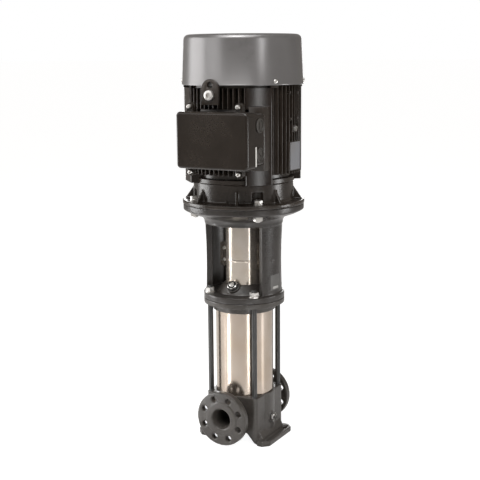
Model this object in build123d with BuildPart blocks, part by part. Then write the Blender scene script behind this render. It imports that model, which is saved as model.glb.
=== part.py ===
from build123d import *
from math import cos, degrees, radians, sin
import os

# A vertical multistage pump with in-line ports and a flanged motor on top.
# +Z is up, the origin is on the floor under the shaft, and the suction port points to -Y.
# All sizes are in millimetres.

os.makedirs("parts", exist_ok=True)

# Clearances
shaft_slip = 0.05  # radial room of a ring or hub on its shaft
seat_slip = 0.1  # radial room of a standing piece in its seat
bolt_slip = 0.75  # radial room of a bolt in a drilled hole
run_gap = 0.4  # room between a turning and a standing piece

# Ports, DN 50 flanges to PN 16
port_height = 90.0
face_to_face = 300.0
port_flange_diameter = 165.0
port_flange_thickness = 22.0
raised_face_diameter = 102.0
raised_face_height = 2.0
port_bolt_circle = 125.0
port_bolt_count = 8
port_bolt_hole = 18.0
port_bore = 50.0
port_mouth = 64.0
port_mouth_depth = 16.0
port_neck_diameter = 84.0
port_neck_root = 112.0
port_neck_lead = 4.0
port_neck_sink = 14.0

# Base casting
base_height = 147.0
base_square = 174.0
base_corner = 13.0
base_round = 186.0
base_wall = 9.0
foot_spread = 250.0
foot_length = 176.0
foot_width = 36.0
foot_thickness = 16.0
foot_corner = 18.0
foot_flare = 12.0
foot_flare_height = 30.0
foot_flare_sink = 4.0
anchor_spacing_x = 215.0
anchor_spacing_y = 130.0
anchor_hole = 13.5
trough_width = 18.0
trough_depth = 5.0
arch_height = 34.0
arch_top = 106.0
arch_foot = 168.0
cavity_floor = 54.0
suction_hub_diameter = 92.0
drain_height = 66.0
drain_boss_diameter = 34.0
drain_boss_height = 2.5
drain_thread = 13.0
drain_hex = 24.0
drain_head = 7.0

# Sleeve and tie rods
sleeve_diameter = 175.0
sleeve_wall = 2.0
sleeve_seat_depth = 8.0
gasket_thickness = 2.0
gasket_width = 3.4
tie_rod_diameter = 16.0
tie_rod_spacing = 151.0
tie_rod_thread_depth = 24.0
tie_rod_end = 6.0
tie_rod_floor_gap = 1.0
nut_height = 13.0
nut_hex = 24.0
washer_diameter = 30.0
washer_thickness = 3.0

# Hydraulic stack
stage_count = 5
stage_pitch = 45.0
chamber_diameter = 140.0
chamber_wall = 2.0
inlet_height = 26.0
inlet_step = 2.0
inlet_lip = 6.0
outlet_space = 24.0
pump_shaft_diameter = 22.0
pump_shaft_foot = 2.0
pump_shaft_chamfer = 1.0
impeller_diameter = 120.0
impeller_eye = 54.0
impeller_lift = 1.5
impeller_collar = 6.0
impeller_shroud = 2.0
impeller_width = 12.0
impeller_hub_diameter = 32.0
impeller_hub_height = 30.0
blade_count = 6
blade_thickness = 2.4
blade_sweep = 62.0
blade_curve = 45.0
blade_root_space = 8.0
blade_tip_space = 0.5
neck_ring_wall = 4.0
neck_ring_height = 5.0
guide_count = 7
guide_height = 12.0
guide_hub_diameter = 42.0
guide_sweep = 28.0

# Pump head
head_recess = 10.0
head_skirt_height = 20.0
head_skirt_diameter = 192.0
head_flange_diameter = 245.0
head_flange_thickness = 16.0
head_wall = 8.0
dome_base_diameter = 166.0
dome_top_diameter = 118.0
dome_rise = 27.0
head_column_wall = 4.0
head_column_window = 30.0
vent_tilt = 45.0
vent_radius = 76.0
vent_height = 489.0
vent_boss_diameter = 40.0
vent_boss_length = 22.0
vent_thread = 20.0
vent_thread_length = 9.0
vent_hex = 27.0
vent_head = 9.0
vent_ring_diameter = 32.0
vent_ring_thickness = 2.0
vent_knob_diameter = 13.5
vent_knob_height = 3.0

# Shaft seal
seal_seat_diameter = 44.0
seal_seat_height = 9.0
seal_rotor_diameter = 36.0
seal_rotor_height = 30.0
seal_rotor_space = 2.0

# Motor stool
stool_foot_thickness = 18.0
stool_foot_bore = 167.0
stool_height = 289.0
stool_wall_bottom = 230.0
stool_waist = 227.0
stool_wall_top = 232.0
stool_wall = 8.0
stool_wall_angle = 66.0
stool_edge_depth = 20.0
stool_edge_width = 9.0
stool_window_height = 210.0
stool_ring_height = 18.6
stool_ring_diameter = 236.0
stool_flare_round = 22.0
stool_flare_reach = 163.0
stool_flare_drop = 3.5
stool_flange_edge = 5.5
stool_spigot_room = 1.0
stool_nut_pocket = 15.8
stool_pocket_width = 60.0
stool_pocket_corner = 12.0
stool_cut_overrun = 1.0
stool_flange_thickness = 23.0
stool_flange_margin = 1.5
stool_slot_length = 14.0
stool_slot_width = 4.0
stool_slot_height = 563.0
stool_slot_shift = 22.7

# Coupling and guard
motor_shaft_end = 42.0
motor_shaft_space = 6.0
motor_shaft_step = 2.0
coupling_diameter = 80.0
coupling_length = 150.0
coupling_split = 2.0
coupling_overlap = 72.0
coupling_rise = 56.0
coupling_screw = 8.0
coupling_screw_head = 13.0
coupling_screw_reach = 29.0
coupling_screw_rows = 2
coupling_screw_spacing = 75.0
coupling_screw_seat = 18.0
coupling_screw_head_height = 6.5
guard_diameter = 110.0
guard_wall = 1.5
guard_length = 178.0
guard_ear_reach = 27.0
guard_ear_height = 74.0
guard_ear_base = 42.0
guard_screw = 6.0
guard_screw_head = 11.0
guard_screw_rows = 2
guard_screw_spacing = 37.0
guard_screw_head_height = 3.0
guard_screw_length = 12.0

# Motor flange and drive-end shield
motor_flange_diameter = 364.0
motor_flange_thickness = 12.0
motor_bolt_circle = 300.0
motor_bolt = 16.0
motor_bolt_hex = 24.0
motor_bolt_head = 10.0
motor_washer = 30.0
motor_washer_thickness = 3.0
motor_bolt_end = 3.0
motor_spigot = 250.0
motor_spigot_height = 5.0
shield_drum_diameter = 298.0
shield_drum_height = 56.0
shield_wall = 9.0
shield_foot_chamfer = 5.0
shaft_hole_room = 3.0
rib_count = 8
rib_thickness = 7.0
rib_height = 40.0
rib_sink = 1.0
rib_edge = 6.0
bolt_pocket = 17.0
bolt_pocket_height = 34.0

# Bearings
bearing_bore = 45.0
bearing_outer = 100.0
bearing_width = 25.0
bearing_inner_land = 61.0
bearing_outer_land = 84.0
bearing_shield = 1.5
drive_bearing_rise = 22.0
end_bearing_rise = 2.0

# Motor frame
frame_length = 274.0
frame_core_diameter = 282.0
frame_bore = 252.0
fin_tip_inset = 6.5
fin_count = 13
fin_pitch = 14.6
fin_thickness = 3.4
fin_foot = 26.0
panel_width = 78.0
panel_inset = 9.0
panel_wall = 7.0
frame_collar_diameter = 304.0
frame_collar_height = 14.0
stator_bore = 160.0
rotor_air_gap = 0.6
stator_length = 160.0
stator_rise = 46.0
winding_height = 26.0
winding_outer = 232.0
winding_inner = 176.0
motor_shaft_core = 58.0
fan_seat_diameter = 38.0

# Terminal box
box_centre_x = 42.5
box_centre_z = 931.0
box_pad_y = 141.0
box_pad_back_y = 104.0
box_margin = 6.0
box_front_y = 209.0
box_width = 206.0
box_height = 146.0
box_wall = 6.0
box_corner = 12.0
lid_width = 227.0
lid_height = 157.0
lid_depth = 45.0
lid_wall = 4.0
lid_round = 5.0
box_gasket = 1.0
box_ear_width = 22.0
box_ear_thickness = 12.0
box_ear_shift = -13.0
lid_ear_thickness = 7.0
lid_screw_span_x = 156.0
lid_screw_span_z = 183.0
lid_screw = 8.0
lid_screw_head = 13.0
lid_screw_head_height = 8.0
lid_screw_length = 16.0
entry_hole = 32.0
entry_plug = 40.0
entry_spacing = 80.0
entry_y = 168.0
entry_plug_head = 4.0
entry_slot_length = 22.0
entry_slot_width = 4.0
entry_slot_depth = 2.0
board_length = 110.0
board_height = 60.0
board_thickness = 14.0
stud_diameter = 6.0
stud_length = 16.0
stud_spacing_x = 36.0
stud_spacing_z = 30.0

# Non-drive end, fan and fan cover
end_shield_thickness = 12.0
end_shield_inset = 17.0
end_shield_lug_width = 26.0
end_shield_lug_height = 26.0
cover_length = 143.0
cover_rim_gap = 7.0
cover_rim_diameter = 356.0
cover_top_diameter = 344.0
cover_wall = 2.0
cover_shoulder = 15.0
grille_rings = 3
grille_inner = 46.0
grille_pitch = 32.0
grille_slot_length = 22.0
grille_slot_width = 9.0
grille_slot_count = 12
cover_screw = 6.0
cover_screw_head = 12.0
cover_screw_height = 4.0
cover_screw_angle = 60.0
cover_screw_rise = 11.0
cover_screw_length = 24.0
fan_diameter = 280.0
fan_rise = 14.0
fan_hub_diameter = 66.0
fan_blade_count = 9
fan_blade_height = 38.0
fan_blade_thickness = 3.0
fan_disc_thickness = 3.0

# Lifting lugs, nameplate and earth screw
lug_width = 54.0
lug_thickness = 10.0
lug_bottom = 1025.0
lug_top = 1097.0
lug_eye = 18.0
lug_eye_height = 1080.0
lug_screw_height = 1052.0
lug_boss = 36.0
lug_screw = 14.0
lug_screw_head = 29.0
lug_screw_socket = 14.0
lug_screw_length = 30.0
lug_screw_head_height = 9.0
plate_width = 60.0
plate_height = 79.0
plate_thickness = 1.0
plate_centre_z = 875.0
plate_pad_rim = 3.0
earth_boss = 24.0
earth_height = 953.0
earth_screw = 8.0
earth_screw_head = 15.0
earth_screw_head_height = 5.0
earth_screw_length = 15.0


# Levels, from the floor up
sleeve_seat_z = base_height - sleeve_seat_depth
stack_z = sleeve_seat_z
first_stage_z = stack_z + inlet_height
stack_top_z = first_stage_z + stage_count * stage_pitch
head_seat_z = stack_top_z + outlet_space
sleeve_bottom_z = sleeve_seat_z + gasket_thickness
sleeve_length = head_seat_z - gasket_thickness - sleeve_bottom_z
head_bottom_z = head_seat_z - head_recess
head_flange_z = head_bottom_z + head_skirt_height
stool_z = head_flange_z + head_flange_thickness
stool_floor_z = stool_z + stool_foot_thickness
dome_z = stool_floor_z + dome_rise
window_top_z = stool_floor_z + stool_window_height
stool_ring_top_z = window_top_z + stool_ring_height
motor_z = stool_z + stool_height
stool_flange_z = motor_z - stool_flange_thickness
shield_top_z = motor_z + motor_flange_thickness
frame_z = shield_top_z + shield_drum_height
frame_top_z = frame_z + frame_length
cover_rim_z = frame_top_z + cover_rim_gap
cover_top_z = cover_rim_z + cover_length
drive_bearing_z = motor_z + drive_bearing_rise
stator_z = frame_z + stator_rise
end_bearing_z = frame_top_z - bearing_width + end_bearing_rise
fan_z = frame_top_z + end_shield_thickness + fan_rise
pump_shaft_bottom_z = stack_z + pump_shaft_foot
coupling_z = dome_z + coupling_rise
pump_shaft_top_z = coupling_z + coupling_overlap
motor_shaft_bottom_z = pump_shaft_top_z + motor_shaft_space

rod_places = [(x * tie_rod_spacing / 2, y * tie_rod_spacing / 2) for x in (-1, 1) for y in (-1, 1)]
body_half = base_square / 2
stool_flange_diameter = motor_flange_diameter - 2 * stool_flange_margin
end_shield_diameter = cover_rim_diameter - 2 * end_shield_inset
fin_tip_diameter = cover_rim_diameter - 2 * fin_tip_inset
panel_diameter = cover_rim_diameter - 2 * panel_inset
sleeve_radius = sleeve_diameter / 2
shaft_radius = pump_shaft_diameter / 2


def write(piece, name):
    """Label one finished piece and write it."""
    piece.label = name
    export_step(piece, f"parts/{name}.step")


def ring_profile(inner, outer, low, high):
    """Add an upright rectangle from one radius to another, to be revolved about the shaft."""
    with Locations(((inner + outer) / 2, (low + high) / 2)):
        Rectangle(outer - inner, high - low)


def turned_plane(angle):
    """An upright plane through the shaft whose x points at this angle from +X."""
    turn = radians(angle)
    return Plane(origin=(0, 0, 0), x_dir=(cos(turn), sin(turn), 0), z_dir=(sin(turn), -cos(turn), 0))


def turned_normal(angle, distance):
    """An upright plane that faces outwards at this angle from +X, this far from the shaft."""
    turn = radians(angle)
    origin = (distance * cos(turn), distance * sin(turn), 0)
    return Plane(origin=origin, x_dir=(-sin(turn), cos(turn), 0), z_dir=(cos(turn), sin(turn), 0))


def port_plane(side):
    """The face of a port, seen from outside; side is -1 for suction and 1 for discharge."""
    origin = (0, side * face_to_face / 2, port_height)
    return Plane(origin=origin, x_dir=(1, 0, 0), z_dir=(0, side, 0))


# Pump base with both ports and the feet
with BuildPart() as base:
    with BuildSketch():
        RectangleRounded(base_square, base_square, base_corner)
        Circle(base_round / 2)
    extrude(amount=base_height)
    with BuildSketch():
        Rectangle(foot_spread, foot_length)
        chamfer(vertices(), foot_corner)
        Rectangle(foot_spread - 2 * foot_width, foot_length, mode=Mode.SUBTRACT)
    extrude(amount=foot_thickness)
    with BuildSketch(Plane.XZ):
        for side in (-1, 1):
            with BuildLine():
                Polyline(
                    (side * (body_half - foot_flare_sink), foot_thickness),
                    (side * (body_half + foot_flare), foot_thickness),
                    (side * (body_half - foot_flare_sink), foot_thickness + foot_flare_height),
                    close=True,
                )
            make_face()
    extrude(amount=(foot_length - 2 * foot_corner) / 2, both=True)
    for side in (-1, 1):
        with BuildSketch(Plane.YZ):
            face_y = face_to_face / 2
            back_y = face_y - port_flange_thickness
            with BuildLine():
                Polyline(
                    (side * (face_y - raised_face_height), port_height),
                    (side * (face_y - raised_face_height), port_height + port_flange_diameter / 2),
                    (side * back_y, port_height + port_flange_diameter / 2),
                    (side * back_y, port_height + port_neck_diameter / 2),
                    (side * (body_half + port_neck_lead), port_height + port_neck_diameter / 2),
                    (side * (body_half - port_neck_sink), port_height + port_neck_root / 2),
                    (side * (body_half - port_neck_sink), port_height),
                    close=True,
                )
            make_face()
        port_axis = Axis((0, 0, port_height), (0, 1, 0))
        revolve(axis=port_axis)
        with BuildSketch(port_plane(side)):
            Circle(raised_face_diameter / 2)
        extrude(amount=-raised_face_height)
    with BuildSketch(Plane.YZ.offset(base_round / 2 + drain_boss_height)):
        with Locations((0, drain_height)):
            Circle(drain_boss_diameter / 2)
    extrude(amount=-base_wall)
    with BuildSketch(Plane.XZ):
        with BuildLine():
            Polyline(
                (-arch_foot / 2, 0),
                (-arch_top / 2, arch_height),
                (arch_top / 2, arch_height),
                (arch_foot / 2, 0),
                close=True,
            )
        make_face()
    extrude(amount=base_round / 2, both=True, mode=Mode.SUBTRACT)
    with BuildSketch(Plane.XY.offset(cavity_floor)):
        Circle(base_round / 2 - base_wall)
        Circle(suction_hub_diameter / 2, mode=Mode.SUBTRACT)
    extrude(amount=sleeve_seat_z - cavity_floor, mode=Mode.SUBTRACT)
    with BuildSketch(Plane.XZ):
        with Locations((0, port_height)):
            Circle(port_bore / 2 + base_wall)
    extrude(amount=base_round / 2 - base_wall / 2)
    with BuildSketch(Plane.XY.offset(cavity_floor)):
        Circle(suction_hub_diameter / 2 - base_wall)
    extrude(amount=sleeve_seat_z - cavity_floor, mode=Mode.SUBTRACT)
    for side in (-1, 1):
        with BuildSketch(port_plane(side)):
            Circle(port_bore / 2)
        inner_end = suction_hub_diameter / 2 + side * base_wall
        extrude(amount=-(face_to_face / 2 - inner_end + base_wall), mode=Mode.SUBTRACT)
        with BuildSketch(Plane.YZ):
            with BuildLine():
                Polyline(
                    (side * face_to_face / 2, port_height),
                    (side * face_to_face / 2, port_height + port_mouth / 2),
                    (side * (face_to_face / 2 - port_mouth_depth), port_height + port_bore / 2),
                    (side * (face_to_face / 2 - port_mouth_depth), port_height),
                    close=True,
                )
            make_face()
        revolve(axis=port_axis, mode=Mode.SUBTRACT)
        with BuildSketch(port_plane(side)):
            half_step = 180 / port_bolt_count
            with PolarLocations(port_bolt_circle / 2, port_bolt_count, start_angle=half_step):
                Circle(port_bolt_hole / 2)
        extrude(amount=-port_flange_thickness, mode=Mode.SUBTRACT)
    with BuildSketch(Plane.XY.offset(sleeve_seat_z)):
        Circle(sleeve_radius + seat_slip)
    extrude(amount=sleeve_seat_depth, mode=Mode.SUBTRACT)
    with BuildSketch(Plane.XY.offset(base_height)):
        with Locations(*rod_places):
            Circle(tie_rod_diameter / 2 + seat_slip)
    extrude(amount=-tie_rod_thread_depth, mode=Mode.SUBTRACT)
    with BuildSketch(Plane.XY.offset(foot_thickness)):
        with GridLocations(anchor_spacing_x, 0, 2, 1):
            SlotCenterToCenter(anchor_spacing_y, trough_width, rotation=90)
    extrude(amount=-trough_depth, mode=Mode.SUBTRACT)
    with BuildSketch():
        with GridLocations(anchor_spacing_x, anchor_spacing_y, 2, 2):
            Circle(anchor_hole / 2)
    extrude(amount=foot_thickness, mode=Mode.SUBTRACT)
    with BuildSketch(Plane.YZ.offset(base_round / 2 + drain_boss_height)):
        with Locations((0, drain_height)):
            Circle(drain_thread / 2 + seat_slip)
    extrude(amount=-(2 * base_wall + drain_boss_height), mode=Mode.SUBTRACT)
write(base.part, "pump_base")

# Drain plug and its sealing ring
drain_plane = Plane.YZ.offset(base_round / 2 + drain_boss_height)
with BuildPart() as drain_ring:
    with BuildSketch(drain_plane):
        with Locations((0, drain_height)):
            Circle(drain_hex / 2)
            Circle(drain_thread / 2 + seat_slip, mode=Mode.SUBTRACT)
    extrude(amount=gasket_thickness)
write(drain_ring.part, "drain_plug_ring")

with BuildPart() as drain_plug:
    with BuildSketch(drain_plane.offset(gasket_thickness)):
        with Locations((0, drain_height)):
            RegularPolygon(drain_hex / 2, 6, major_radius=False)
    extrude(amount=drain_head)
    with BuildSketch(drain_plane.offset(gasket_thickness)):
        with Locations((0, drain_height)):
            Circle(drain_thread / 2)
    extrude(amount=-(gasket_thickness + base_wall))
write(drain_plug.part, "drain_plug")

# Outer sleeve with a gasket at each end
with BuildPart() as sleeve:
    with BuildSketch(Plane.XY.offset(sleeve_bottom_z)):
        Circle(sleeve_radius)
        Circle(sleeve_radius - sleeve_wall, mode=Mode.SUBTRACT)
    extrude(amount=sleeve_length)
write(sleeve.part, "outer_sleeve")

with BuildPart() as sleeve_gaskets:
    for level in (sleeve_seat_z, head_seat_z - gasket_thickness):
        with BuildSketch(Plane.XY.offset(level)):
            Circle(sleeve_radius)
            Circle(sleeve_radius - gasket_width, mode=Mode.SUBTRACT)
        extrude(amount=gasket_thickness)
write(sleeve_gaskets.part, "sleeve_gaskets")

# Inlet ring that carries the stack on the suction hub of the base
with BuildPart() as inlet_ring:
    hub_radius = suction_hub_diameter / 2
    with BuildSketch(Plane.XZ):
        with BuildLine():
            Polyline(
                (hub_radius - base_wall, stack_z),
                (hub_radius, stack_z),
                (hub_radius + inlet_step, stack_z + inlet_height / 2),
                (chamber_diameter / 2, first_stage_z - chamber_wall),
                (chamber_diameter / 2, first_stage_z),
                (chamber_diameter / 2 - inlet_lip, first_stage_z),
                (hub_radius - base_wall, stack_z + inlet_height / 2),
                close=True,
            )
        make_face()
    revolve()
write(inlet_ring.part, "inlet_ring")

# Stage parts: each chamber stands on the one below, and its floor holds the neck ring
neck_inner = impeller_eye / 2 + impeller_shroud + run_gap
neck_outer = neck_inner + neck_ring_wall
with BuildSketch() as guide_vane:
    inner_point = (guide_hub_diameter / 2 - 1, 0)
    outer_reach = chamber_diameter / 2 - chamber_wall / 2
    outer_point = (outer_reach * cos(radians(guide_sweep)), outer_reach * sin(radians(guide_sweep)))
    with BuildLine():
        RadiusArc(inner_point, outer_point, -outer_reach)
    trace(line_width=blade_thickness)

for stage in range(stage_count):
    chamber_z = first_stage_z + stage * stage_pitch
    with BuildPart() as chamber:
        with BuildSketch(Plane.XZ):
            wall_outer = chamber_diameter / 2
            with BuildLine():
                Polyline(
                    (neck_outer + seat_slip, chamber_z),
                    (wall_outer, chamber_z),
                    (wall_outer, chamber_z + stage_pitch),
                    (wall_outer - chamber_wall, chamber_z + stage_pitch),
                    (wall_outer - chamber_wall, chamber_z + chamber_wall),
                    (neck_outer + seat_slip, chamber_z + chamber_wall),
                    close=True,
                )
            make_face()
        revolve()
        with BuildSketch(Plane.XY.offset(chamber_z + stage_pitch - guide_height)):
            with PolarLocations(0, guide_count):
                add(guide_vane.sketch)
            Circle(guide_hub_diameter / 2)
            Circle(impeller_hub_diameter / 2 + run_gap, mode=Mode.SUBTRACT)
            Circle(chamber_diameter / 2 - chamber_wall / 2, mode=Mode.INTERSECT)
        extrude(amount=guide_height - run_gap)
    write(chamber.part, f"chamber_{stage + 1}")

with BuildPart() as neck_rings:
    for stage in range(stage_count):
        with BuildSketch(Plane.XY.offset(first_stage_z + stage * stage_pitch)):
            Circle(neck_outer)
            Circle(neck_inner, mode=Mode.SUBTRACT)
        extrude(amount=neck_ring_height)
write(neck_rings.part, "neck_rings")

# Impellers: collar in the neck ring, front shroud, swept blades, back shroud and hub
with BuildSketch() as impeller_blade:
    root = impeller_hub_diameter / 2 + blade_root_space
    tip = impeller_diameter / 2 - blade_tip_space
    tip_point = (tip * cos(radians(blade_sweep)), tip * sin(radians(blade_sweep)))
    with BuildLine():
        RadiusArc((root, 0), tip_point, blade_curve)
    trace(line_width=blade_thickness)

for stage in range(stage_count):
    eye_z = first_stage_z + stage * stage_pitch + impeller_lift
    channel_z = eye_z + impeller_collar + impeller_shroud
    eye_radius = impeller_eye / 2
    with BuildPart() as impeller:
        with BuildSketch(Plane.XZ):
            ring_profile(eye_radius, eye_radius + impeller_shroud, eye_z, channel_z)
            ring_profile(eye_radius, impeller_diameter / 2, channel_z - impeller_shroud, channel_z)
            bore = shaft_radius + shaft_slip
            back_z = channel_z + impeller_width
            ring_profile(bore, impeller_diameter / 2, back_z, back_z + impeller_shroud)
            ring_profile(bore, impeller_hub_diameter / 2, channel_z, eye_z + impeller_hub_height)
        revolve()
        with BuildSketch(Plane.XY.offset(channel_z)):
            with PolarLocations(0, blade_count):
                add(impeller_blade.sketch)
        extrude(amount=impeller_width)
    write(impeller.part, f"impeller_{stage + 1}")

# Pump shaft
with BuildPart() as pump_shaft:
    with BuildSketch(Plane.XY.offset(pump_shaft_bottom_z)):
        Circle(shaft_radius)
    extrude(amount=pump_shaft_top_z - pump_shaft_bottom_z)
    chamfer(pump_shaft.edges().filter_by(GeomType.CIRCLE), pump_shaft_chamfer)
write(pump_shaft.part, "pump_shaft")

# Pump head: skirt over the sleeve, clamped flange, conical dome and a column on the stack
dome_foot = dome_base_diameter / 2
dome_top = dome_top_diameter / 2
column_outer = chamber_diameter / 2
column_inner = column_outer - head_column_wall
seal_floor_z = dome_z - seal_seat_height
gasket_bore = sleeve_radius - gasket_width
vent_direction = Vector(0, -cos(radians(vent_tilt)), sin(radians(vent_tilt)))
vent_face = Vector(0, -vent_radius, vent_height) - vent_direction * (vent_head + vent_ring_thickness)
vent_plane = Plane(origin=vent_face, x_dir=(1, 0, 0), z_dir=vent_direction)
with BuildPart() as pump_head:
    with BuildSketch(Plane.XZ):
        with BuildLine():
            Polyline(
                (sleeve_radius + seat_slip, head_bottom_z),
                (head_skirt_diameter / 2, head_bottom_z),
                (head_skirt_diameter / 2, head_flange_z),
                (head_flange_diameter / 2, head_flange_z),
                (head_flange_diameter / 2, stool_z),
                (dome_foot, stool_z),
                (dome_foot, stool_floor_z),
                (dome_top, dome_z),
                (seal_seat_diameter / 2 + seat_slip, dome_z),
                (seal_seat_diameter / 2 + seat_slip, seal_floor_z),
                (seal_rotor_diameter / 2 + seal_rotor_space, seal_floor_z),
                (seal_rotor_diameter / 2 + seal_rotor_space, seal_floor_z - head_wall),
                (dome_top - head_wall, seal_floor_z - head_wall),
                (column_inner, stool_z),
                (column_inner, stack_top_z),
                (column_outer, stack_top_z),
                (column_outer, head_seat_z + head_wall),
                (gasket_bore, head_seat_z + head_wall),
                (gasket_bore, head_seat_z),
                (sleeve_radius + seat_slip, head_seat_z),
                close=True,
            )
        make_face()
    revolve()
    with BuildSketch(vent_plane):
        Circle(vent_boss_diameter / 2)
    extrude(amount=-vent_boss_length)
    with BuildSketch(vent_plane):
        Circle(vent_thread / 2 + seat_slip)
    extrude(amount=-(vent_boss_length + 2 * head_wall), mode=Mode.SUBTRACT)
    with BuildSketch(Plane.XY.offset(head_flange_z)):
        with Locations(*rod_places):
            Circle(tie_rod_diameter / 2 + bolt_slip)
    extrude(amount=head_flange_thickness, mode=Mode.SUBTRACT)
    for wall_plane in (Plane.XZ, Plane.YZ):
        with BuildSketch(wall_plane):
            with Locations((0, stack_top_z + outlet_space / 2)):
                Rectangle(head_column_window, outlet_space / 2)
        extrude(amount=column_outer + head_column_wall, both=True, mode=Mode.SUBTRACT)
    with BuildSketch(Plane.XY.offset(dome_z)):
        Circle(guard_diameter / 2 + run_gap)
    extrude(amount=vent_boss_diameter, mode=Mode.SUBTRACT)
write(pump_head.part, "pump_head")

# Vent plug and its sealing ring
with BuildPart() as vent_ring:
    with BuildSketch(vent_plane):
        Circle(vent_ring_diameter / 2)
        Circle(vent_thread / 2 + seat_slip, mode=Mode.SUBTRACT)
    extrude(amount=vent_ring_thickness)
write(vent_ring.part, "vent_plug_ring")

with BuildPart() as vent_plug:
    with BuildSketch(vent_plane.offset(vent_ring_thickness)):
        RegularPolygon(vent_hex / 2, 6, major_radius=False)
    extrude(amount=vent_head)
    with BuildSketch(vent_plane.offset(vent_ring_thickness + vent_head)):
        Circle(vent_knob_diameter / 2)
    extrude(amount=vent_knob_height)
    with BuildSketch(vent_plane.offset(vent_ring_thickness)):
        Circle(vent_thread / 2)
    extrude(amount=-(vent_ring_thickness + vent_thread_length))
write(vent_plug.part, "vent_plug")

# Tie rods with their washers and nuts on the stool foot
washer_z = stool_floor_z
nut_z = washer_z + washer_thickness
rod_bottom_z = base_height - tie_rod_thread_depth + tie_rod_floor_gap
rod_radius = tie_rod_diameter / 2
with BuildPart() as tie_rods:
    with BuildSketch(Plane.XY.offset(rod_bottom_z)):
        with Locations(*rod_places):
            Circle(rod_radius)
    extrude(amount=nut_z + nut_height + tie_rod_end - rod_bottom_z)
write(tie_rods.part, "tie_rods")

with BuildPart() as tie_rod_washers:
    with BuildSketch(Plane.XY.offset(washer_z)):
        with Locations(*rod_places):
            Circle(washer_diameter / 2)
            Circle(rod_radius + bolt_slip, mode=Mode.SUBTRACT)
    extrude(amount=washer_thickness)
write(tie_rod_washers.part, "tie_rod_washers")

with BuildPart() as tie_rod_nuts:
    with BuildSketch(Plane.XY.offset(nut_z)):
        with Locations(*rod_places):
            RegularPolygon(nut_hex / 2, 6, major_radius=False)
            Circle(rod_radius + seat_slip, mode=Mode.SUBTRACT)
    extrude(amount=nut_height)
write(tie_rod_nuts.part, "tie_rod_nuts")

# Shaft seal: the seat stands in the dome, the seal ring turns with the shaft below it
with BuildPart() as seal_seat:
    with BuildSketch(Plane.XY.offset(seal_floor_z)):
        Circle(seal_seat_diameter / 2)
        Circle(shaft_radius + run_gap, mode=Mode.SUBTRACT)
    extrude(amount=seal_seat_height)
write(seal_seat.part, "seal_seat")

with BuildPart() as seal_ring:
    with BuildSketch(Plane.XY.offset(seal_floor_z - run_gap)):
        Circle(seal_rotor_diameter / 2)
        Circle(shaft_radius + shaft_slip, mode=Mode.SUBTRACT)
    extrude(amount=-seal_rotor_height)
write(seal_ring.part, "seal_ring")

# Motor stool: foot flange, two waisted walls with folded edges, ring, flare and motor flange
wall_bottom = stool_wall_bottom / 2
waist = stool_waist / 2
wall_top = stool_wall_top / 2
edge_foot = wall_bottom - stool_edge_depth
edge_top = wall_top - stool_edge_depth
ring_radius = stool_ring_diameter / 2
spigot_radius = motor_spigot / 2
waist_z = (stool_floor_z + window_top_z) / 2
edge_turn = degrees(stool_edge_width / waist)
motor_bolt_places = PolarLocations(motor_bolt_circle / 2, 4, start_angle=45)
with BuildPart() as motor_stool:
    for side in (0, 180):
        with BuildSketch(turned_plane(side - stool_wall_angle / 2)):
            with BuildLine():
                ThreePointArc((wall_bottom, stool_floor_z), (waist, waist_z), (wall_top, window_top_z))
                Line((wall_top, window_top_z), (edge_top, window_top_z))
                Line((edge_top, window_top_z), (edge_foot, stool_floor_z))
                Line((edge_foot, stool_floor_z), (wall_bottom, stool_floor_z))
            make_face()
        revolve(revolution_arc=stool_wall_angle)
        with BuildSketch(turned_plane(side - stool_wall_angle / 2 + edge_turn)):
            with BuildLine():
                inner_foot = (wall_bottom - stool_wall, stool_floor_z)
                inner_top = (wall_top - stool_wall, window_top_z)
                cut_top = (edge_top - stool_cut_overrun, window_top_z)
                cut_foot = (edge_foot - stool_cut_overrun, stool_floor_z)
                ThreePointArc(inner_foot, (waist - stool_wall, waist_z), inner_top)
                Polyline(inner_top, cut_top, cut_foot, inner_foot)
            make_face()
        revolve(revolution_arc=stool_wall_angle - 2 * edge_turn, mode=Mode.SUBTRACT)
    with BuildSketch(Plane.XY.offset(stool_z)):
        Circle(head_flange_diameter / 2)
        Circle(stool_foot_bore / 2, mode=Mode.SUBTRACT)
        with Locations(*rod_places):
            Circle(rod_radius + bolt_slip, mode=Mode.SUBTRACT)
    extrude(amount=stool_foot_thickness)
    with BuildSketch(Plane.XZ):
        flange_radius = stool_flange_diameter / 2
        spigot_floor_z = motor_z - motor_spigot_height - stool_spigot_room
        with BuildLine():
            Polyline(
                (edge_top, window_top_z),
                (ring_radius, window_top_z),
                (ring_radius, stool_ring_top_z),
                (stool_flare_reach, stool_flange_z - stool_flare_drop),
                (flange_radius, stool_flange_z + stool_flange_edge),
                (flange_radius, motor_z),
                (spigot_radius + seat_slip, motor_z),
                (spigot_radius + seat_slip, spigot_floor_z),
                (edge_top, spigot_floor_z),
                close=True,
            )
        make_face()
        flare_corner = vertices().sort_by_distance((ring_radius, stool_ring_top_z))[0]
        fillet(flare_corner, stool_flare_round)
    revolve()
    pocket_inner = motor_bolt_circle / 2 - stool_nut_pocket
    pocket_run = flange_radius - pocket_inner + 2 * stool_pocket_corner
    with BuildSketch(Plane.XY.offset(stool_flange_z)):
        with PolarLocations(pocket_inner + pocket_run / 2, 4, start_angle=45):
            RectangleRounded(pocket_run, stool_pocket_width, stool_pocket_corner)
    extrude(amount=-stool_flange_thickness, mode=Mode.SUBTRACT)
    with BuildSketch(Plane.XY.offset(stool_flange_z)):
        with motor_bolt_places:
            Circle(motor_bolt / 2 + bolt_slip)
    extrude(amount=stool_flange_thickness, mode=Mode.SUBTRACT)
    with BuildSketch(Plane.YZ):
        with Locations((-stool_slot_shift, stool_slot_height)):
            SlotOverall(stool_slot_length, stool_slot_width)
    extrude(amount=wall_bottom + stool_wall, mode=Mode.SUBTRACT)
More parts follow.
